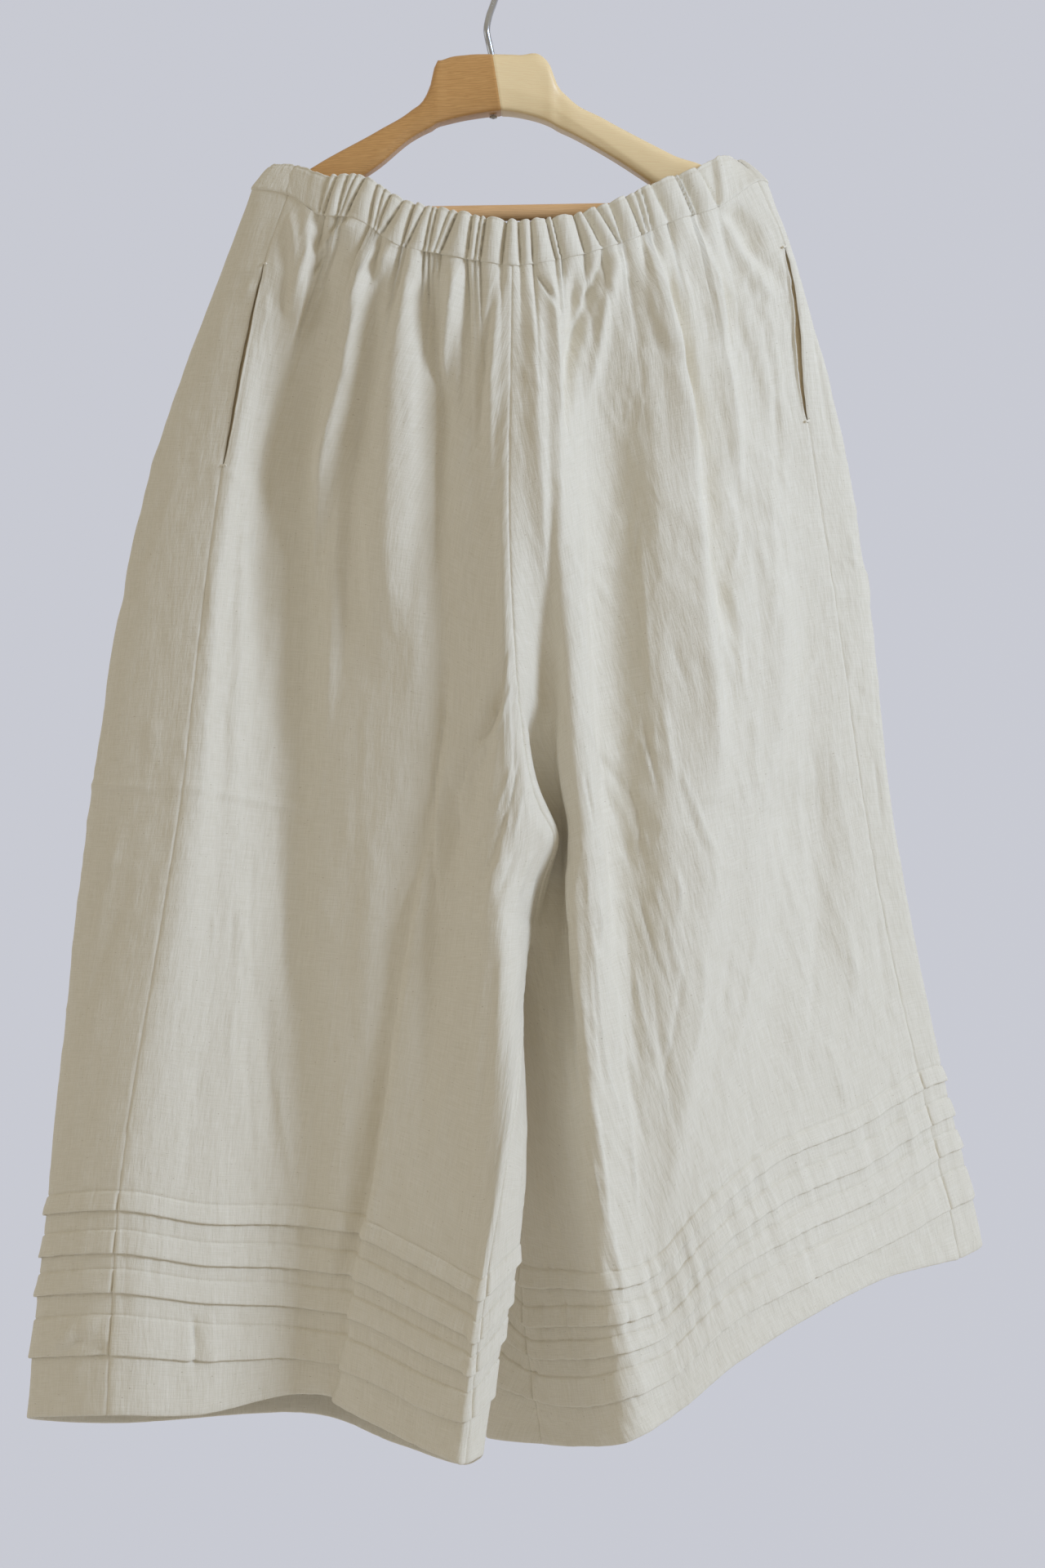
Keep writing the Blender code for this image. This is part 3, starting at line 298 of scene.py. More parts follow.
# Fields of thin creases: panel, share across from and to, share down from and to, how many,
# lean (share across for each share down), rise (millimetres)
FIELDS = (
    ("front_right", 0.42, 0.74, 0.47, 0.80, 34, -0.45, 1.0),
    ("front_right", 0.06, 0.40, 0.34, 0.80, 44, -0.30, 0.8),
    ("front_right", 0.05, 0.80, 0.06, 0.34, 26, -0.12, 0.8),
    ("front_left", 0.05, 0.34, 0.56, 0.82, 22, 0.05, 0.7),
    ("front_left", 0.34, 0.80, 0.30, 0.80, 16, 0.10, 0.5),
    ("front_left", 0.80, 0.97, 0.38, 0.60, 14, -0.50, 0.8),
    ("front_left", 0.05, 0.70, 0.03, 0.30, 18, 0.10, 0.8),
    ("back_left", 0.04, 0.50, 0.10, 0.82, 40, 0.12, 0.8),
    ("back_left", 0.50, 0.95, 0.08, 0.80, 26, -0.15, 0.8),
    ("back_right", 0.04, 0.50, 0.10, 0.82, 38, -0.15, 0.8),
    ("back_right", 0.50, 0.95, 0.08, 0.80, 28, 0.12, 0.8))

# Short creases across the cloth: panel, distance from the side seam, distance down the cloth,
# slant, half length, half width, rise (millimetres)
TUGS = (
    ("back_left", 7, 55, 0.10, 9, 2.2, 1.8), ("back_left", 8, 62, 0.15, 8, 2.0, -1.5),
    ("back_left", 9, 69, 0.05, 7, 2.4, 1.4), ("back_left", 6, 80, -0.1, 6, 2.5, -1.0),
    ("back_left", 5, 186, 0.2, 4, 2.5, 0.8), ("front_left", 9, 192, 0.6, 8, 2.0, 0.9),
    ("back_left", 28, 782, 0.35, 12, 4.0, 4.2), ("back_left", 15, 790, -0.3, 9, 3.0, -3.4),
    ("back_left", 24, 806, 0.2, 3, 9.0, 1.6), ("front_left", 106, 428, -0.8, 12, 2.2, 1.0),
    ("front_right", 14, 60, 0.7, 14, 3.0, 1.2), ("front_right", 20, 74, 0.9, 14, 2.6, -1.0),
    ("front_right", 96, 560, 1.4, 10, 2.4, 0.9), ("back_right", 30, 300, 0.6, 12, 3.0, 1.0))

# The faint line where the cloth lay folded in store, in the same columns
STORAGE = (
    ("front_left", 45, 410, 0.10, 62, 2.4, 1.5), ("back_left", 50, 404, -0.05, 62, 2.4, 1.4),
    ("front_right", 118, 441, 0.02, 20, 2.4, 1.1), ("back_right", 90, 420, 0.03, 40, 2.4, 1.0))

# Local shifts: side, place, reach, shift
LOCAL = (
    ("both", (38, -30, -622), (16, 30, 24), (7, -4, 0)),
    ("both", (24, 26, -745), (24, 26, 44), (-8, 0, 0)),
    ("right", (28, 24, -704), (18, 26, 26), (-7, 4, 0)),
    ("left", (14, -38, -810), (26, 44, 130), (0, -13, 0)))

# Crinkles all over: lean, spacing across, length and height
CRINKLES = ((0.25, 15.0, 34.0, 0.50), (-0.35, 11.0, 24.0, 0.38), (0.08, 7.0, 30.0, 0.28))

# How strongly each panel is crinkled, and puckered along its tucks
CRINKLE = {"front_left": 0.6, "front_right": 0.9, "back_left": 0.7, "back_right": 0.9}
PUCKER = {"front_left": 0.6, "front_right": 1.9, "back_left": 0.8, "back_right": 1.4}

# Widest opening of each pocket slit
SLIT_OPEN = {"front_left": 3.3, "front_right": 6.5}

# Pocket bags: top and foot down the cloth, reach across the panel, gap behind the slit
BAG = {"front_left": (0.050, 0.300, 0.42, 3.1), "front_right": (0.050, 0.300, 0.42, 2.5)}


def hermite(keys, values, t):
    """Smooth curve through values at keys, read at every t."""
    keys = np.asarray(keys, float)
    values = np.asarray(values, float)
    t = np.asarray(t, float)
    step = np.diff(keys)
    slope = np.diff(values, axis=0) / step.reshape((-1,) + (1,) * (values.ndim - 1))
    tangent = np.empty_like(values)
    tangent[0] = slope[0]
    tangent[-1] = slope[-1]
    for k in range(1, len(keys) - 1):
        tangent[k] = (slope[k - 1] * step[k] + slope[k] * step[k - 1]) / (step[k - 1] + step[k])
    i = np.clip(np.searchsorted(keys, t, side="right") - 1, 0, len(keys) - 2)
    h = step[i]
    f = (t - keys[i]) / h
    shape = f.shape + (1,) * (values.ndim - 1)
    f = f.reshape(shape)
    h = h.reshape(shape)
    a = 2 * f ** 3 - 3 * f ** 2 + 1
    b = f ** 3 - 2 * f ** 2 + f
    c = 3 * f ** 2 - 2 * f ** 3
    d = f ** 3 - f ** 2
    return a * values[i] + b * h * tangent[i] + c * values[i + 1] + d * h * tangent[i + 1]


def ease(t):
    t = np.clip(t, 0.0, 1.0)
    return t * t * (3 - 2 * t)


def seam_line(rows, v):
    table = np.array(rows, float)
    return hermite(table[:, 0], table[:, 1:], v)


def inner_line(panel, v):
    """The centre seam down to the crotch, then the inseam."""
    side, centre, inseam = SEAMS[panel]
    above = seam_line(centre, np.minimum(v, CROTCH))
    below = seam_line(inseam, np.maximum(v, CROTCH))
    return np.where((v <= CROTCH)[:, None], above, below)


def guide(panel, index, v):
    row = LINES[panel][index]
    v = np.asarray(v, float)
    if panel in SLIDES:
        first, last = SLIDES[panel][index]
        slide = hermite((0.50, 0.60, TUCKS[0][0], TUCKS[-1][1], 1.0), (0, 0, first, last, 0), v)
        v = v + np.where((v > 0.60) & (v < 1.0), slide, 0.0) / LENGTH
    return hermite(STATIONS, np.array(row[2:], float), v)


def unit(vectors):
    return vectors / np.maximum(np.linalg.norm(vectors, axis=-1, keepdims=True), 1e-9)


def puffs(x, valleys, rise):
    """Rounded puffs of cloth between the valleys of a gathered edge."""
    valleys = np.asarray(valleys, float)
    x = np.asarray(x, float)
    i = np.clip(np.searchsorted(valleys, x, side="right") - 1, 0, len(valleys) - 2)
    width = valleys[i + 1] - valleys[i]
    f = np.clip((x - valleys[i]) / width, 0.0, 1.0)
    inside = (x >= valleys[0]) & (x <= valleys[-1])
    hump = np.clip(4 * f * (1 - f), 0, 1) ** 0.7
    return np.where(inside, (hump - 0.6) * rise * np.clip(width / 10.0, 0.6, 1.35), 0.0)


def base_surface(panel, u, v):
    """Points of a panel's middle surface: one row for each v, one column for each u."""
    v = np.asarray(v, float)
    beyond_side, beyond_centre, beyond_inseam = NEIGHBOURS[panel]
    keys = [-LINES[beyond_side][0][1], 0.0]
    columns = [guide(beyond_side, 0, v), seam_line(SEAMS[panel][0], v)]
    for index, row in enumerate(LINES[panel]):
        keys.append(row[1])
        columns.append(guide(panel, index, v))
    keys.append(1.0)
    columns.append(inner_line(panel, v))
    above = guide(beyond_centre, -1, v)
    below = guide(beyond_inseam, -1, v)
    mix = ease((v - CROTCH + 0.03) / 0.04)[:, None]
    keys.append(1.0 + 0.5 * (2 - LINES[beyond_centre][-1][1] - LINES[beyond_inseam][-1][1]))
    columns.append(above * (1 - mix) + below * mix)
    return np.transpose(hermite(keys, np.stack(columns, axis=0), u), (1, 0, 2))


def turned(panel):
    return -1.0 if panel in ("front_left", "back_right") else 1.0


def normals(panel, points):
    """Outward normals of a grid of points."""
    across = np.gradient(points, axis=1)
    down = np.gradient(points, axis=0)
    return turned(panel) * unit(np.cross(across, down))


def lattice(s, t, across, along, seed):
    """Smooth noise from -1 to 1 whose cells are across by along millimetres."""
    rng = np.random.RandomState(seed)
    x = np.asarray(s) / across + 40.0
    y = np.asarray(t) / along + 40.0
    size = 512
    grid = rng.uniform(-1.0, 1.0, (size, size))
    ix = np.floor(x).astype(int)
    iy = np.floor(y).astype(int)
    fx = ease(x - ix)
    fy = ease(y - iy)
    ix %= size - 1
    iy %= size - 1
    top = grid[iy, ix] * (1 - fx) + grid[iy, ix + 1] * fx
    low = grid[iy + 1, ix] * (1 - fx) + grid[iy + 1, ix + 1] * fx
    return top * (1 - fy) + low * fy


def shares(rows):
    """Rows of a table of folds with their places as shares."""
    return [tuple(k / 1000 for k in row[:6]) + row[6:] for row in rows]


def fold_rise(rows, u, v, width):
    """Sum of the folds in these rows at every (v, u) of a panel."""
    total = np.zeros((len(v), len(u)))
    for u0, v0, u1, v1, u2, v2, side_half, centre_half, rise in rows:
        line = hermite((v0, v1, v2), (u0, u1, u2), v)
        reach = ease((v - v0) / (0.25 * (v2 - v0)) + 0.3)
        reach = reach * ease((v2 - v) / (0.35 * (v2 - v0)))
        reach = np.where((v < v0 - 0.03) | (v > v2), 0.0, reach)
        offset = (u[None, :] - line[:, None]) * width[:, None]
        half = np.where(offset < 0, side_half, centre_half)
        total += rise * reach[:, None] * np.exp(-(offset / half) ** 2)
    return total


def thin_creases(panel):
    """Thin uneven creases strewn over the fields of a panel, in the columns of the folds."""
    rows = []
    for k, (name, u0, u1, v0, v1, count, lean, rise) in enumerate(FIELDS):
        rng = np.random.RandomState(300 + k)
        for place in rng.uniform(size=(count, 6)):
            if name != panel:
                continue
            u, v = u0 + (u1 - u0) * place[0], v0 + (v1 - v0) * place[1]
            long = 0.018 + 0.055 * place[2] ** 2
            shift = (lean + 0.5 * (place[3] - 0.5)) * long
            height = rise * (0.4 + 0.9 * place[4]) * (1 if place[5] > 0.45 else -1)
            rows.append((u - shift, v - long, u + 0.3 * shift * (place[3] - 0.5), v, u + shift,
                         v + long, 1.3 + 1.4 * place[4], 1.5 + 2.2 * place[2], height))
    return rows


def pleats_of(panel):
    """Valleys of a gathered waist: x at the seam, x at the top edge, depth."""
    if panel.startswith("front"):
        return np.array(FRONT_PLEATS, float).T
    k = np.arange(BACK_GATHERS)
    low = np.linspace(-126, 156, BACK_GATHERS) + 2.6 * np.sin(k * 2.3) + 1.4 * np.sin(k * 5.1)
    return low, low + 5.0 * np.sin(k * 1.7), 0.65 + 0.35 * np.sin(k * 2.9)


def gather(panel, u, v):
    """Rounded puffs under the waist seam that die out down the cloth, each in its own length."""
    top = base_surface(panel, u, np.array([0.0]))[0, :, 0]
    valleys = pleats_of(panel)[0]
    rise = puffs(top, valleys, GATHER_RISE)
    rng = np.random.RandomState(11 if panel.startswith("front") else 12)
    length = np.interp(top, valleys, rng.uniform(26.0, 105.0, len(valleys)))
    length = length * (1.0 - 0.62 * np.exp(-((top - 12.0) / 13.0) ** 2))
    down = v[:, None] * LENGTH
    swell = 1.0 + 0.35 * ease(down / 14.0)
    body = rise[None, :] * swell * np.exp(-down / length[None, :])
    sharp = np.zeros_like(body)
    for place, depth, run in zip(valleys, rng.uniform(0.2, 1.5, len(valleys)),
                                 rng.uniform(9.0, 55.0, len(valleys))):
        wide = 1.2 + down / 22.0
        drift = place + (place - 10.0) * down * 0.0011
        sharp -= depth * np.exp(-down / run) * np.exp(-np.abs(top[None, :] - drift) / wide)
    return body + sharp


def leg_rows():
    """Rows from the waist seam to the inside of the hem: share down, lift (mm)."""
    rows = [(v, 0.0) for v in np.linspace(0.0, CROTCH, 187)]
    rows += [(v, 0.0) for v in np.linspace(CROTCH, TUCKS[0][0] - 0.0030, 77)[1:]]
    last = len(TUCKS) - 1
    for k, (stitch, edge) in enumerate(TUCKS):
        rows += [(stitch - 0.0015, 0.0), (stitch - 0.0006, -0.35), (stitch, -0.55),
                 (stitch + 0.0007, 0.1), (stitch + 0.0016, 0.8)]
        rows += [(v, 0.9 + (TUCK_RISE - 0.9) * f) for v, f in
                 zip(np.linspace(stitch + 0.003, edge - 0.0008, 6), np.linspace(0.1, 1, 6))]
        rows += [(edge, TUCK_RISE - 0.1), (edge + 0.0007, TUCK_RISE - 0.55),
                 (edge + 0.0006, TUCK_RISE - 1.0), (edge - 0.0008, TUCK_RISE - 1.35),
                 (edge - 0.0040, 0.35), (edge - 0.0042, 0.12), (edge - 0.0030, 0.0)]
        below = TUCKS[k + 1][0] - 0.0030 if k < last else 1.0
        rows += [(v, 0.0) for v in np.linspace(edge + 0.0010, below, 5 if k < last else 13)]
    rows += [(1.0012, -0.45), (1.0015, -1.1), (1.0011, -1.75), (1.0, HEM_INSIDE)]
    rows += [(v, HEM_INSIDE) for v in np.linspace(0.995, 1.0 - HEM_DEPTH / LENGTH, 6)]
    rows += [(1.0 - HEM_DEPTH / LENGTH - 0.0004, -1.3)]
    return np.array(rows)


def fine_rise(panel, s, t):
    """Crinkles, puckers along the seams and tucks, and the storage crease, in millimetres."""
    seed = 100 * (1 + list(LINES).index(panel))
    rise = 0.4 * lattice(s, t, 17.0, 70.0, seed) + 0.18 * lattice(s, t, 6.0, 20.0, seed + 1)
    worn = ease(0.45 + 0.9 * lattice(s, t, 48.0, 80.0, seed + 8))
    for lean, across, along, height in CRINKLES:
        sharp = 1.0 - np.abs(lattice(s + lean * t, t, across, along, seed + 2 + int(across))) * 3.2
        rise += CRINKLE[panel] * height * np.clip(sharp, -0.3, 1.0) * (0.25 + worn)
    rise += 0.10 * lattice(s, t, 3.4, 9.0, seed + 4)
    for stitch, edge in TUCKS:
        near = np.exp(-np.abs(t - stitch * LENGTH) / 6.0)
        near = near + 0.7 * np.exp(-np.abs(t - edge * LENGTH) / 4.0)
        rise += PUCKER[panel] * near * lattice(s, t, 5.5, 60.0, seed + 5)
    for row in TUGS + STORAGE:
        if row[0] == panel:
            place, reach, rise_here = row[1:4], row[4:6], row[6]
            slant = place[1] + place[2] * (s - place[0])
            gap = np.clip(np.abs(s - place[0]) - reach[0], 0.0, None) / (0.4 * reach[0] + 1.0)
            worn = 0.75 + 0.5 * lattice(s, t * 0, 11.0, 9.0, seed + 9)
            rise += rise_here * worn * np.exp(-gap ** 2) * np.exp(-((t - slant) / reach[1]) ** 2)
    near = np.exp(-np.abs(t - 0.99 * LENGTH) / 9.0)
    rise += 0.45 * near * lattice(s, t, 9.0, 80.0, seed + 6)
    return rise


def seam_form(s, width, t):
    """The groove of a pressed-open seam, its allowance beside it, and its puckers."""
    rise = np.zeros_like(s)
    for gap in (s, width - s):
        rise += -0.6 * np.exp(-(gap / 0.9) ** 2) + 0.14 * np.exp(-((gap - 4.5) / 4.5) ** 2)
        rise += 0.35 * np.exp(-gap / 7.0) * lattice(gap * 0, t, 50.0, 7.0, 900)
    return rise


def sample_rows(field, grid, v):
    i = np.clip(np.searchsorted(grid, v, side="right") - 1, 0, len(grid) - 2)
    f = ((v - grid[i]) / (grid[i + 1] - grid[i]))
    f = f.reshape((-1,) + (1,) * (field.ndim - 1))
    return field[i] * (1 - f) + field[i + 1] * f


ALLOWANCE = ((9.0, -1.5), (4.5, -1.5), (1.2, -1.3), (0.15, -0.8), (0.0, -0.4))


def cloth_grid(panel):
    """Fine points of one leg panel, with its cloth coordinates in millimetres."""
    edge_u = np.array([0.0, 0.0015, 0.003, 0.005, 0.008])
    u = np.concatenate((edge_u, np.linspace(0.012, 0.988, 146), 1.0 - edge_u[::-1]))
    grid_v = np.concatenate((np.linspace(0.0, CROTCH, 184), np.linspace(CROTCH, 0.80, 68)[1:],
                             np.linspace(0.8025, 1.005, 90)))
    points = local_form(panel, base_surface(panel, u, grid_v))
    normal = normals(panel, points)
    normal[:14] = unit(normal[:14] * (1, 1, 0))
    step = np.linalg.norm(np.diff(points, axis=1), axis=2)
    s = np.concatenate((np.zeros((len(grid_v), 1)), np.cumsum(step, axis=1)), axis=1)
    width = s[:, -1]
    edge = ease(u / FOLD_FADE) * ease((1 - u) / FOLD_FADE)
    large = fold_rise(shares(FOLDS[panel]), u, grid_v, width) * edge
    creases = fold_rise(shares(CREASES[panel]) + thin_creases(panel), u, grid_v, width)
    large += CREASE_GAIN * creases * ease(u / CREASE_FADE) * ease((1 - u) / CREASE_FADE)
    large *= BACK_FOLDS if panel.startswith("back") else 1.0
    points = points + normal * (large + gather(panel, u, grid_v))[:, :, None]
    normal = normals(panel, points)
    t = (grid_v * LENGTH)[:, None] + np.zeros_like(s)
    small = fine_rise(panel, s, t) * ease(t / 18.0)
    small += seam_form(s, width[:, None], t)
    points = points + normal * small[:, :, None]
    normal = normals(panel, points)
    return u, grid_v, s, points, normal


def local_form(panel, points):
    """Where the fork hangs forward over the left leg, and the right leg's inner edge behind it."""
    for side, place, reach, shift in LOCAL:
        if panel.endswith(side) or side == "both":
            gap = (points - np.array(place)) / np.array(reach)
            near = np.exp(-np.sum(gap ** 2, axis=2))
            points = points + near[:, :, None] * np.array(shift)
    return points


def slit_pull(panel, s, v):
    """How far the front's pocket edge is drawn aside from the side seam."""
    if not panel.startswith("front"):
        return np.zeros_like(s)
    f = np.clip((v - SLIT[0]) / (SLIT[1] - SLIT[0]), 0, 1)
    return SLIT_OPEN[panel] * (np.sin(np.pi * f) ** 0.6)[:, None] * np.exp(-s / 9.0)


def join_edges(grids):
    """Give the edges that meet at a seam the same points and normals, blended in nearby."""
    crotch_row = int(np.argmin(np.abs(grids["front_left"][1] - CROTCH)))
    above = slice(0, crotch_row + 1)
    below = slice(crotch_row, None)
    pairs = (("front_left", 0, "back_left", 0, slice(None)),
             ("front_right", 0, "back_right", 0, slice(None)),
             ("front_left", -1, "front_right", -1, above),
             ("back_left", -1, "back_right", -1, above),
             ("front_left", -1, "back_left", -1, below),
             ("front_right", -1, "back_right", -1, below))
    for a, ca, b, cb, part in pairs:
        mean = 0.5 * (grids[a][3][part, ca] + grids[b][3][part, cb])
        for panel, column in ((a, ca), (b, cb)):
            points, s = grids[panel][3], grids[panel][2]
            gap = s[part] if column == 0 else s[part, -1:] - s[part]
            shift = mean - points[part, column]
            points[part] += shift[:, None, :] * np.exp(-gap / 5.0)[:, :, None]
        both = unit(grids[a][4][part, ca] + grids[b][4][part, cb])
        grids[a][4][part, ca] = both
        grids[b][4][part, cb] = both


def inner_edge(fine, out, s_rows):
    """Columns of the seam allowance: the cloth's own form at each distance, turned inside."""
    near = s_rows[0] < 30.0
    columns = []
    for distance, depth in ALLOWANCE:
        points = fine + out * depth
        columns.append(np.array([[np.interp(distance, s_rows[r, near], points[r, near, k])
                                  for k in range(3)] for r in range(len(fine))]))
    return columns


def panel_mesh(panel, grid, made):
    u, grid_v, s, points, normal = grid
    along = unit(np.gradient(points, axis=1))
    points = points + along * slit_pull(panel, s, grid_v)[:, :, None]
    rows = leg_rows()
    v, lift = rows[:, 0], rows[:, 1]
    fine = sample_rows(points, grid_v, v)
    out = unit(sample_rows(normal, grid_v, v))
    s_rows = sample_rows(s, grid_v, v)
    seam = ease(s_rows / 2.0) * ease((s_rows[:, -1:] - s_rows) / 2.0)
    height = np.where(lift > 0, lift, 0)[:, None] * (0.25 + 0.75 * seam)
    height = height + np.where(lift < 0, lift, 0)[:, None]
    fine = fine + out * height[:, :, None]
    left = inner_edge(fine, out, s_rows)
    right = inner_edge(fine[:, ::-1], out[:, ::-1], s_rows[:, -1:] - s_rows[:, ::-1])[::-1]
    fine = np.concatenate((np.stack(left, 1), fine, np.stack(right, 1)), axis=1)
    pad = len(ALLOWANCE)
    cloth_s = np.concatenate((np.stack([s_rows[:, 0] - 2 - d for d, z in ALLOWANCE], 1), s_rows,
                              np.stack([s_rows[:, -1] + 2 + d for d, z in ALLOWANCE[::-1]], 1)), axis=1)
    run = np.concatenate(([0.0], np.cumsum(np.linalg.norm(np.diff(fine[:, pad + 75], axis=0), axis=1))))
    cloth_t = run[:, None] + np.zeros_like(cloth_s)
    return grid_mesh(panel + "_cloth", fine, made, cloth_s, cloth_t)


def grid_mesh(name, points, made, s=None, t=None, closed=False):
    """A mesh of quads over rows and columns of points, with cloth coordinates in metres."""
    rows, columns = points.shape[:2]
    r = np.arange(rows if closed else rows - 1)
    c = np.arange(columns - 1)
    a = (r[:, None] * columns + c[None, :]).ravel()
    below = (((r + 1) % rows)[:, None] * columns + c[None, :]).ravel()
    quads = np.stack((a, a + 1, below + 1, below), axis=1)
    return made_mesh(name, points.reshape(-1, 3), quads, made,
                     None if s is None else np.stack((s.ravel(), t.ravel()), 1))


def made_mesh(name, points, faces, made, coordinates=None):
    mesh = bpy.data.meshes.new(name)
    faces = [tuple(int(k) for k in f) for f in faces] if not isinstance(faces, np.ndarray) else faces
    if isinstance(faces, np.ndarray):
        mesh.vertices.add(len(points))
        mesh.vertices.foreach_set("co", (np.asarray(points) * MM).astype(np.float32).ravel())
        mesh.loops.add(faces.size)
        mesh.loops.foreach_set("vertex_index", faces.ravel().astype(np.int32))
        mesh.polygons.add(len(faces))
        mesh.polygons.foreach_set("loop_start", np.arange(0, faces.size, 4, dtype=np.int32))
        mesh.update(calc_edges=True)
        mesh.validate()
    else:
        mesh.from_pydata([tuple(p * MM) for p in np.asarray(points)], [], faces)
    if coordinates is not None:
        layer = mesh.uv_layers.new(name="cloth")
        index = np.empty(len(mesh.loops), np.int32)
        mesh.loops.foreach_get("vertex_index", index)
        layer.data.foreach_set("uv", (coordinates[index] * MM).astype(np.float32).ravel())
    mesh.polygons.foreach_set("use_smooth", np.ones(len(mesh.polygons), bool))
    mesh.materials.append(made)
    obj = bpy.data.objects.new(name, mesh)
    bpy.context.scene.collection.objects.link(obj)
    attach(obj, "root")
    return obj


def tack_mesh(panel, grid, place, made):
    """A bar tack of close stitches across one end of a pocket slit."""
    u, grid_v, s, points, normal = grid
    row = int(np.argmin(np.abs(grid_v - SLIT[place])))
    across = unit(points[row, 3] - points[row, 0])
    middle = points[row, 0] + normal[row, 0] * 0.5 + across * 1.0
    path = [middle + across * d for d in np.linspace(-2.6, 2.6, 15)]
    return tube("bar_tack_%s_%d" % (panel.split("_")[1], place), path, 0.75, 12, made)


def waist_ring(panels, at):
    """Waist seam of a pair of panels, from the left side seam (0) to the right one (2)."""
    top = np.array([0.0])
    left = base_surface(panels[0], np.minimum(at, 1.0), top)[0]
    right = base_surface(panels[1], np.minimum(2.0 - at, 1.0), top)[0]
    return np.where((at <= 1.0)[:, None], left, right)


def band_mesh(name, panels, lean, made, seed):
    """A gathered waistband: a casing over elastic, closed all round."""
    at = np.linspace(0.0, 2.0, BAND_COLUMNS)
    ring = waist_ring(panels, at)
    length = np.concatenate(([0.0], np.cumsum(np.linalg.norm(np.diff(ring, axis=0), axis=1))))
    even = np.linspace(0, length[-1], BAND_COLUMNS)
    at = np.interp(even, length, at)
    ring = waist_ring(panels, at)
    along = np.gradient(ring, axis=0)
    out = unit(np.cross(along, (0.0, 0.0, 1.0)) * (1, 1, 0))
    if panels[0].startswith("back"):
        out = -out
    lean = np.array(lean, float)
    step = hermite(lean[:, 0], lean[:, 1:], even / even[-1])
    low, high, pulled = pleats_of(panels[0])
    rng = np.random.RandomState(seed)
    count = len(low)
    tall = rng.uniform(0.75, 1.25, count)
    skew = rng.uniform(0.7, 1.4, count)
    x = ring[:, 0]
    inside = ease((x - low[0] + 3.0) / 4.0) * ease((low[-1] + 3.0 - x) / 4.0)
    profile = [(0.03, -0.5), (-0.01, -0.25), (-0.02, 0.1), (-0.005, 0.45), (0.02, 0.62)]
    profile += [(f, 0.7 + 0.75 * math.sin(math.pi * f) ** 0.8) for f in np.linspace(0.06, 0.88, 17)]
    profile += [(0.915, 0.62), (0.935, 0.42), (0.96, 0.5), (0.985, 0.52), (1.0, 0.25),
                (1.0, -0.1), (0.985, -0.42), (0.95, -0.5)]
    profile += [(f, -0.9) for f in np.linspace(0.88, 0.1, 7)]
    rows = []
    for share_up, side in profile:
        up = min(max(share_up, 0.0), 1.0)
        valleys = np.maximum.accumulate(low + (high - low) * up)
        index = np.clip(np.searchsorted(valleys, x, side="right") - 1, 0, count - 2)
        width = np.maximum(valleys[index + 1] - valleys[index], 1.0)
        f = np.clip((x - valleys[index]) / width, 0.0, 1.0) ** skew[index]
        hump = (1 - np.abs(2 * f - 1) ** 2.4 - 0.6) * tall[index] * inside * PUFF
        hump = hump * np.clip(width / 10.0, 0.3, 1.25) * (0.8 + 0.3 * math.sin(math.pi * up))
        cut = np.zeros_like(x)
        for place, depth in zip(valleys, pulled):
            cut -= 2.3 * depth * np.exp(-np.abs(x - place) / 0.9)
        wave = 0.35 * lattice(even, np.full_like(even, up * 30), 4.5, 12.0, seed + 7)
        form = (hump + cut * inside + wave) if side > -0.5 else 0.6 * hump
        seat = puffs(x, low, GATHER_RISE)
        form = form * ease(up / 0.1) + seat * (1 - ease(up / 0.1))
        row = ring + step * up + out * (form + side * BAND_HALF)[:, None]
        frill = 0.5 * lattice(even, even * 0, 3.4, 9.0, seed + 8) + 0.35 * hump + 0.25 * cut
        row[:, 2] += up ** 3 * frill + (share_up - up) * 30.0
        rows.append(row)
    rows = np.array(rows)
    s = np.broadcast_to(even[None, :], rows.shape[:2])
    run = np.cumsum([0.0] + list(np.linalg.norm(np.diff(rows[:, 200], axis=0), axis=1)))
    return grid_mesh(name, rows, made, s, run[:, None] + 0 * s, closed=True)


def bag_mesh(panel, made):
    """A flat pocket bag behind the slit."""
    top, foot, reach, root = BAG[panel]
    v = np.linspace(top, foot, 40)
    f = (v - top) / (foot - top)
    depth = reach * np.sqrt(np.clip(1 - np.abs(2 * f - 1.05) ** 3, 0.12, 1))
    ways = np.linspace(0.0, 1.0, 26)
    inward = np.interp(ways, (0, 0.12, 0.4, 1.0), (root, 5.5, 8.5, 8.0))
    rows = []
    for row, down in enumerate(v):
        u = -0.014 + (depth[row] + 0.014) * ways
        near = base_surface(panel, u, np.array([down, down + 0.01]))
        normal = unit(np.cross(np.gradient(near[0], axis=0), near[1] - near[0]))
        normal = np.where(normal[:, 1:2] > 0, normal, -normal)
        rows.append(near[0] + normal * inward[:, None])
    points = np.array(rows)
    s = np.linalg.norm(points - points[:, :1], axis=2)
    t = (v * LENGTH)[:, None] + 0 * s
    return grid_mesh("pocket_lining_" + panel.split("_")[1], points, made, s, t)


def rod_faces(rings, sides):
    """Quads between rings of points, and a cap on each end."""
    faces = []
    for r in range(rings - 1):
        for k in range(sides):
            a, b = r * sides + k, r * sides + (k + 1) % sides
            faces.append((a, b, b + sides, a + sides))
    return faces + [tuple(range(sides)), tuple((rings - 1) * sides + k for k in range(sides))]


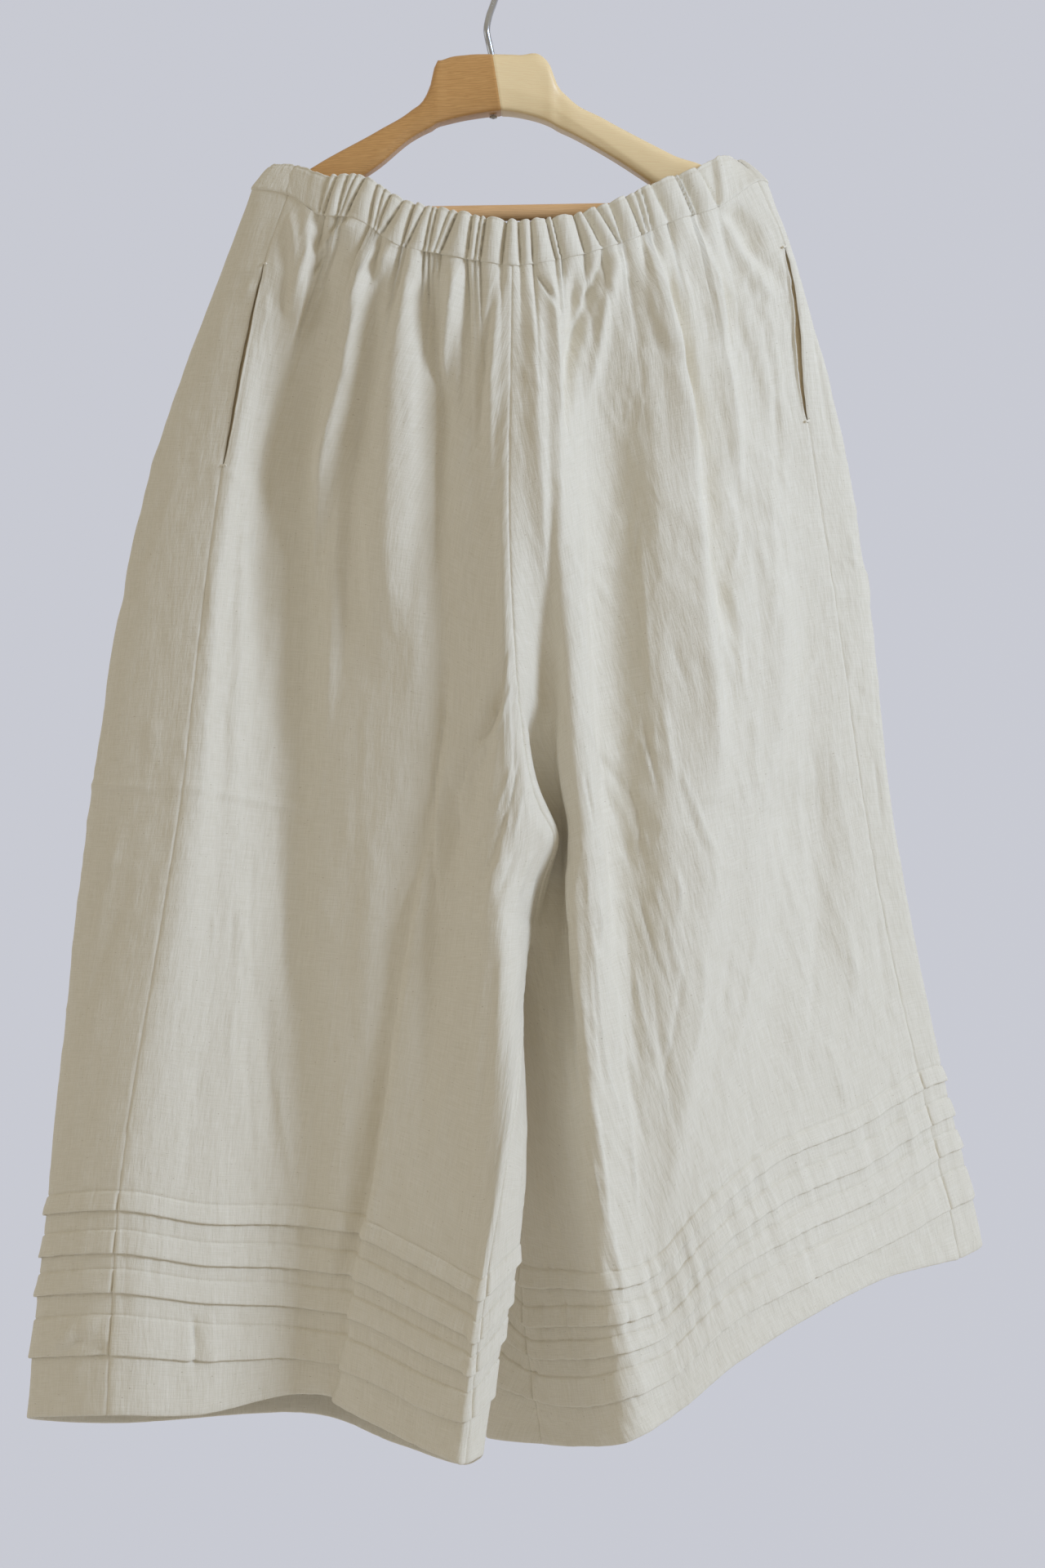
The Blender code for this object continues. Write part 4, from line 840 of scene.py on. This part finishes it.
def tube(name, path, radius, sides, made):
    """A closed round rod along a path, with domed ends."""
    path = np.asarray(path, float)
    tangent = unit(np.gradient(path, axis=0))
    dome = ((0.5, 0.3), (0.38, 0.7), (0.15, 0.93))
    ends = [(path[0] - tangent[0] * radius * d, r) for d, r in dome]
    tips = [(path[-1] + tangent[-1] * radius * d, r) for d, r in dome[::-1]]
    run = ends + [(p, 1.0) for p in path] + tips
    ways = np.concatenate((tangent[:1], tangent[:1], tangent[:1], tangent, tangent[-1:],
                           tangent[-1:], tangent[-1:]))
    lead = np.array((1.0, 0.0, 0.0)) if abs(tangent[0][0]) < 0.8 else np.array((0.0, 1.0, 0.0))
    verts = []
    for (point, size), along in zip(run, ways):
        first = unit(lead - along * np.dot(lead, along))
        second = np.cross(along, first)
        lead = first
        for k in range(sides):
            angle = 2 * np.pi * k / sides
            verts.append(point + size * radius * (math.cos(angle) * first + math.sin(angle) * second))
    faces = rod_faces(len(run), sides)
    faces[-2] = faces[-2][::-1]
    return made_mesh(name, np.array(verts), faces, made)


def arms_mesh(painted_shade_wood, painted_light_wood):
    """Both wooden arms, glued at a slanted joint in the middle of the neck; the left half is painted
    darker as painted shade and the right half paler as painted light.
    """
    table = np.array(HANGER, float)
    x_rows = np.concatenate((np.arange(-157.9, -8, 2.5), np.arange(-7.7, 7.6, 0.7),
                             np.arange(9.0, 160.0, 2.5)))
    sides = 44
    verts = []
    size = [0.8, 0.94] + [1.0] * (len(x_rows) - 4) + [0.94, 0.8]
    for x, full in zip(x_rows, size):
        top, low, thick, middle = hermite(table[:, 0], table[:, 1:], x)
        middle_z, high = 0.5 * (top + low), 0.5 * (top - low)
        near_joint = math.exp(-((x - JOINT_X) / 30.0) ** 2)
        groove = 0.45 * math.exp(-((x - JOINT_X) / 0.6) ** 2)
        for k in range(sides):
            angle = 2 * np.pi * (k + 0.5) / sides
            c, d = math.cos(angle), math.sin(angle)
            power = 0.5 if d > 0 else 0.28
            y = (0.5 * thick * full - groove) * math.copysign(abs(c) ** power, c)
            z = (high * full - groove) * math.copysign(abs(d) ** power, d)
            if c < 0:
                y -= 5.0 * math.exp(-abs(x - JOINT_X) / 26.0)
            if d < 0 and c < -0.1:
                z += (7.0 * math.exp(-(x / 70.0) ** 2) + 2.0) * ease((-c - 0.1) / 0.8)
            verts.append((x + 3.05 * near_joint * (1 - z / high), middle + y, middle_z + z))
    obj = made_mesh("hanger_arms_wood", np.array(verts), rod_faces(len(x_rows), sides), painted_shade_wood)
    obj.data.materials.append(painted_light_wood)
    # Left of the joint the darker wood, painted shade; right of it the paler wood, painted light.
    joint = int(np.argmin(np.abs(x_rows - JOINT_X)))
    for face in obj.data.polygons:
        if face.index < (len(x_rows) - 1) * sides:
            face.material_index = int(face.index // sides >= joint)
    obj.data.polygons[len(obj.data.polygons) - 1].material_index = 1
    return obj


class Nodes:
    """A short way to build a material's node tree."""

    def __init__(self, name, roughness, metallic=0.0, sheen=0.0):
        self.made = bpy.data.materials.new(name)
        self.made.use_nodes = True
        self.tree = self.made.node_tree
        self.shader = self.tree.nodes["Principled BSDF"]
        self.shader.inputs["Roughness"].default_value = roughness
        self.shader.inputs["Metallic"].default_value = metallic
        self.shader.inputs["Sheen Weight"].default_value = sheen

    def node(self, kind, inputs=(), **settings):
        """A new node with these settings, and these values on its inputs."""
        node = self.tree.nodes.new(kind)
        for key, value in settings.items():
            setattr(node, key, value)
        for key, value in dict(inputs).items():
            node.inputs[key].default_value = value
        return node

    def link(self, a, b):
        self.tree.links.new(a, b)

    def stretch(self, source, scale, turn=0.0):
        mapping = self.node("ShaderNodeMapping", {"Scale": scale})
        if turn:
            first = self.node("ShaderNodeMapping", {"Rotation": (0.0, 0.0, turn)})
            self.link(source, first.inputs["Vector"])
            source = first.outputs["Vector"]
        self.link(source, mapping.inputs["Vector"])
        return mapping.outputs["Vector"]

    def noise(self, vector, scale, detail=2.0, rough=0.5, **settings):
        node = self.node("ShaderNodeTexNoise",
                         {"Scale": scale, "Detail": detail, "Roughness": rough}, **settings)
        self.link(vector, node.inputs["Vector"])
        return node.outputs["Fac"]

    def ridges(self, vector, scale, detail):
        return self.noise(vector, scale, detail, noise_type="RIDGED_MULTIFRACTAL")

    def wave(self, vector, scale, direction, distortion=0.0):
        node = self.node("ShaderNodeTexWave", {"Scale": scale, "Distortion": distortion,
                                               "Detail": 2.0, "Detail Scale": 1.5},
                         bands_direction=direction)
        self.link(vector, node.inputs["Vector"])
        return node.outputs["Fac"]

    def math(self, kind, a, b):
        node = self.node("ShaderNodeMath", operation=kind)
        for socket, value in zip(node.inputs, (a, b)):
            if isinstance(value, (int, float)):
                socket.default_value = value
            else:
                self.link(value, socket)
        return node.outputs[0]

    def ramp(self, value, stops):
        node = self.node("ShaderNodeValToRGB")
        while len(node.color_ramp.elements) < len(stops):
            node.color_ramp.elements.new(0.5)
        for element, (place, colour) in zip(node.color_ramp.elements, stops):
            element.position = place
            element.color = tuple(colour) + (1.0,)
        self.link(value, node.inputs["Fac"])
        return node.outputs["Color"]

    def mix(self, fac, a, b):
        node = self.node("ShaderNodeMix", data_type="RGBA")
        for socket, value in zip((node.inputs[0], node.inputs[6], node.inputs[7]), (fac, a, b)):
            if isinstance(value, (int, float)):
                socket.default_value = value
            elif isinstance(value, tuple):
                socket.default_value = value + (1.0,)
            else:
                self.link(value, socket)
        return node.outputs[2]

    def bump(self, height, distance, strength, normal=None):
        node = self.node("ShaderNodeBump", {"Strength": strength, "Distance": distance})
        self.link(height, node.inputs["Height"])
        if normal is not None:
            self.link(normal, node.inputs["Normal"])
        return node.outputs["Normal"]

    def finish(self, colour, normal=None):
        """The finished material, with its colour and normal in place."""
        self.link(colour, self.shader.inputs["Base Color"])
        if normal is not None:
            self.link(normal, self.shader.inputs["Normal"])
        return self.made


def cloth_material(name, base, dark, fleck):
    """Plain weave of uneven slubby yarns, in cloth coordinates in metres."""
    n = Nodes(name, 0.92, sheen=0.12)
    cloth = n.node("ShaderNodeUVMap", uv_map="cloth").outputs["UV"]
    weft = n.noise(n.stretch(cloth, (60.0, 1500.0, 1.0)), 1.0, 3.0, 0.6)
    warp = n.noise(n.stretch(cloth, (1300.0, 45.0, 1.0)), 1.0, 3.0, 0.6)
    slub = n.math("ADD", n.math("MULTIPLY", weft, 0.5), n.math("MULTIPLY", warp, 0.5))
    broad = n.noise(cloth, 9.0, 3.0)
    tone = n.ramp(slub, ((0.34, dark), (0.62, base)))
    tone = n.mix(n.math("MULTIPLY", broad, 0.10), tone, dark)
    speck = n.noise(n.stretch(cloth, (420.0, 900.0, 1.0)), 1.0, 0.0)
    nep = n.ramp(speck, ((0.80, (0.0,) * 3), (0.86, (1.0,) * 3)))
    tone = n.mix(n.math("MULTIPLY", nep, 0.45), tone, fleck)
    yarn = n.math("MULTIPLY", n.wave(cloth, 520.0, "X", 0.4), n.wave(cloth, 470.0, "Y", 0.4))
    height = n.math("ADD", n.math("MULTIPLY", yarn, 0.25), n.math("MULTIPLY", slub, 1.6))
    fine = n.noise(n.stretch(cloth, (260.0, 50.0, 1.0)), 1.0, 3.0, 0.6)
    crush = n.ridges(n.stretch(cloth, (62.0, 17.0, 1.0), 0.22), 1.0, 3.0)
    cross = n.ridges(n.stretch(cloth, (85.0, 24.0, 1.0), -0.34), 1.0, 2.0)
    patchy = n.ramp(n.noise(cloth, 13.0, 2.0), ((0.40, (0.2,) * 3), (0.62, (1.0,) * 3)))
    crush = n.math("ADD", n.math("MULTIPLY", crush, 0.5), n.math("MULTIPLY", cross, 0.35))
    crush = n.math("ADD", n.math("MULTIPLY", crush, patchy), n.math("MULTIPLY", fine, 0.5))
    soft = n.bump(crush, CRUSH, 0.6)
    return n.finish(tone, n.bump(height, 0.00035, 0.55, soft))


def wood_material(name, light, dark, turn, gloss):
    n = Nodes(name, gloss)
    n.shader.inputs["Coat Weight"].default_value = 0.12
    n.shader.inputs["Coat Roughness"].default_value = 0.3
    place = n.node("ShaderNodeTexCoord").outputs["Object"]
    mapping = n.node("ShaderNodeMapping", {"Rotation": (0.0, turn, 0.0), "Scale": (9.0, 60.0, 70.0)})
    n.link(place, mapping.inputs["Vector"])
    grain = n.wave(mapping.outputs["Vector"], 3.4, "Z", 9.0)
    fibre = n.noise(n.stretch(place, (60.0, 900.0, 900.0)), 1.0, 4.0, 0.6)
    mixed = n.math("ADD", n.math("MULTIPLY", grain, 0.35), n.math("MULTIPLY", fibre, 0.65))
    tone = n.ramp(mixed, ((0.2, dark), (0.7, light)))
    return n.finish(tone, n.bump(mixed, 0.0001, 0.2))


def steel_material(name, colour, roughness):
    n = Nodes(name, roughness, 1.0)
    place = n.node("ShaderNodeTexCoord").outputs["Object"]
    streak = n.noise(n.stretch(place, (400.0, 400.0, 60.0)), 1.0, 3.0)
    return n.finish(n.ramp(streak, ((0.3, tuple(0.9 * c for c in colour)), (0.7, colour))))


def plain_material(name, colour, emission=0.0):
    made = bpy.data.materials.new(name)
    made.use_nodes = True
    shader = made.node_tree.nodes["Principled BSDF"]
    shade = 1.0 if not emission else 0.08
    shader.inputs["Base Color"].default_value = tuple(shade * c for c in colour) + (1.0,)
    shader.inputs["Roughness"].default_value = 0.95
    if emission:
        shader.inputs["Emission Color"].default_value = colour + (1.0,)
        shader.inputs["Emission Strength"].default_value = emission
    return made


def stage_plane(name, corners, made):
    mesh = bpy.data.meshes.new(name)
    mesh.from_pydata(corners, [], [(0, 1, 2, 3)])
    mesh.materials.append(made)
    obj = bpy.data.objects.new(name, mesh)
    bpy.context.scene.collection.objects.link(obj)
    return obj


def area_light(name, place, target, size, power, colour):
    light = bpy.data.lights.new(name, "AREA")
    light.shape = "DISK"
    light.size = size
    light.energy = power
    light.color = colour
    obj = bpy.data.objects.new(name, light)
    bpy.context.scene.collection.objects.link(obj)
    obj.visible_camera = False
    obj.location = place
    way = np.array(target) - np.array(place)
    way = way / np.linalg.norm(way)
    obj.rotation_euler = (math.acos(-way[2]), 0.0, math.atan2(-way[0], way[1]))
    return obj


# Camera, straight on and level with the middle of the garment
scene = bpy.context.scene
camera_data = bpy.data.cameras.new("camera")
camera_data.lens = 66.96
camera_data.sensor_width = 36.0
camera = bpy.data.objects.new("camera", camera_data)
camera.location = (0.02, -2.0, -0.59)
camera.rotation_euler = (math.pi / 2, 0.0, 0.0)
scene.collection.objects.link(camera)
scene.camera = camera
scene.view_settings.view_transform = "Standard"

# Materials
cloth = cloth_material("natural_cloth", (0.865, 0.812, 0.70), (0.765, 0.708, 0.58), (0.42, 0.33, 0.22))
lining = cloth_material("pocket_cloth_weave", (0.86, 0.72, 0.50), (0.76, 0.62, 0.41), (0.40, 0.3, 0.2))
# The arms' two woods run their grain differently, and their tones are painted: the left darker as
# painted shade, the right paler as painted light, for how the key falls on each half.
painted_shade_wood = wood_material("painted_shade_brown_wood", (0.74, 0.415, 0.155), (0.60, 0.31, 0.105), 0.35, 0.38)
painted_light_wood = wood_material("painted_light_pale_wood", (1.0, 0.79, 0.46), (0.96, 0.72, 0.40), -0.32, 0.36)
bar_wood = wood_material("bar_wood_grain", (0.93, 0.585, 0.29), (0.78, 0.465, 0.215), 0.0, 0.45)
steel = steel_material("bright_wire", (0.60, 0.61, 0.64), 0.30)
dull_steel = steel_material("screw_steel", (0.50, 0.48, 0.45), 0.4)

# Leg panels
grids = {panel: cloth_grid(panel) for panel in LINES}
join_edges(grids)
panels = {panel: panel_mesh(panel, grids[panel], cloth) for panel in LINES}
for panel, obj in panels.items():
    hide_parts(panel + "_panel")

# Waistband
front_band = band_mesh("front_band_cloth", ("front_left", "front_right"), FRONT_BAND, cloth, 21)
back_band = band_mesh("back_band_cloth", ("back_left", "back_right"), BACK_BAND, cloth, 22)
for obj, node in ((front_band, "front_waistband"), (back_band, "back_waistband")):
    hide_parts(node)

# Pocket bags
for panel in ("front_left", "front_right"):
    obj = bag_mesh(panel, lining)
    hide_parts("pocket_bag_" + panel.split("_")[1])

    for place in (0, 1):
        tack = tack_mesh(panel, grids[panel], place, cloth)

# Hanger
arms = arms_mesh(painted_shade_wood, painted_light_wood)
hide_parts("hanger_arms")
bar = tube("hanger_bar_wood", [np.array(BAR_ENDS[0]) * (1 - f) + np.array(BAR_ENDS[1]) * f
                               for f in np.linspace(0, 1, 40)], 0.5 * BAR, 36, bar_wood)
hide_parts("hanger_bar")
hook = tube("hanger_hook_wire", hermite(range(len(HOOK)), HOOK, np.linspace(0, len(HOOK) - 1, 150)),
            0.5 * WIRE, 24, steel)
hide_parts("hanger_hook")
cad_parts["hanger_screw"].data.materials.clear()
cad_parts["hanger_screw"].data.materials.append(dull_steel)

# Stage and light. The backdrop gives off the background's colour by itself. The key is bluish
# and the sky warm, and the cloth's colour was fitted under both.
stage_plane("backdrop", [(-7, 4.3, -3), (7, 4.3, -3), (7, 4.3, 4), (-7, 4.3, 4)],
            plain_material("backdrop_grey", (0.571, 0.584, 0.644), 0.96))
stage_plane("floor", [(-7, -6, -2.35), (7, -6, -2.35), (7, 4.3, -2.35), (-7, 4.3, -2.35)],
            plain_material("floor_pale", (0.80, 0.785, 0.76)))
area_light("key", (2.95, -1.85, 0.75), (0.05, 0.0, -0.6), 1.3, 89.5, (0.635, 0.765, 1.0))
area_light("fill", (-3.2, -0.9, -0.2), (0.0, 0.0, -0.6), 2.2, 9.0, (0.93, 0.96, 1.0))
world = bpy.data.worlds.new("world")
scene.world = world
world.use_nodes = True
world.node_tree.nodes["Background"].inputs["Color"].default_value = (1.0, 0.922, 0.755, 1.0)
sky = world.node_tree
place = sky.nodes.new("ShaderNodeTexCoord")
split = sky.nodes.new("ShaderNodeSeparateXYZ")
spread = sky.nodes.new("ShaderNodeMapRange")
for socket, value in zip(spread.inputs[1:5], (-1.0, 1.0, 0.13, 0.49)):
    socket.default_value = value
sky.links.new(place.outputs["Generated"], split.inputs[0])
sky.links.new(split.outputs["Z"], spread.inputs[0])
sky.links.new(spread.outputs[0], sky.nodes["Background"].inputs["Strength"])
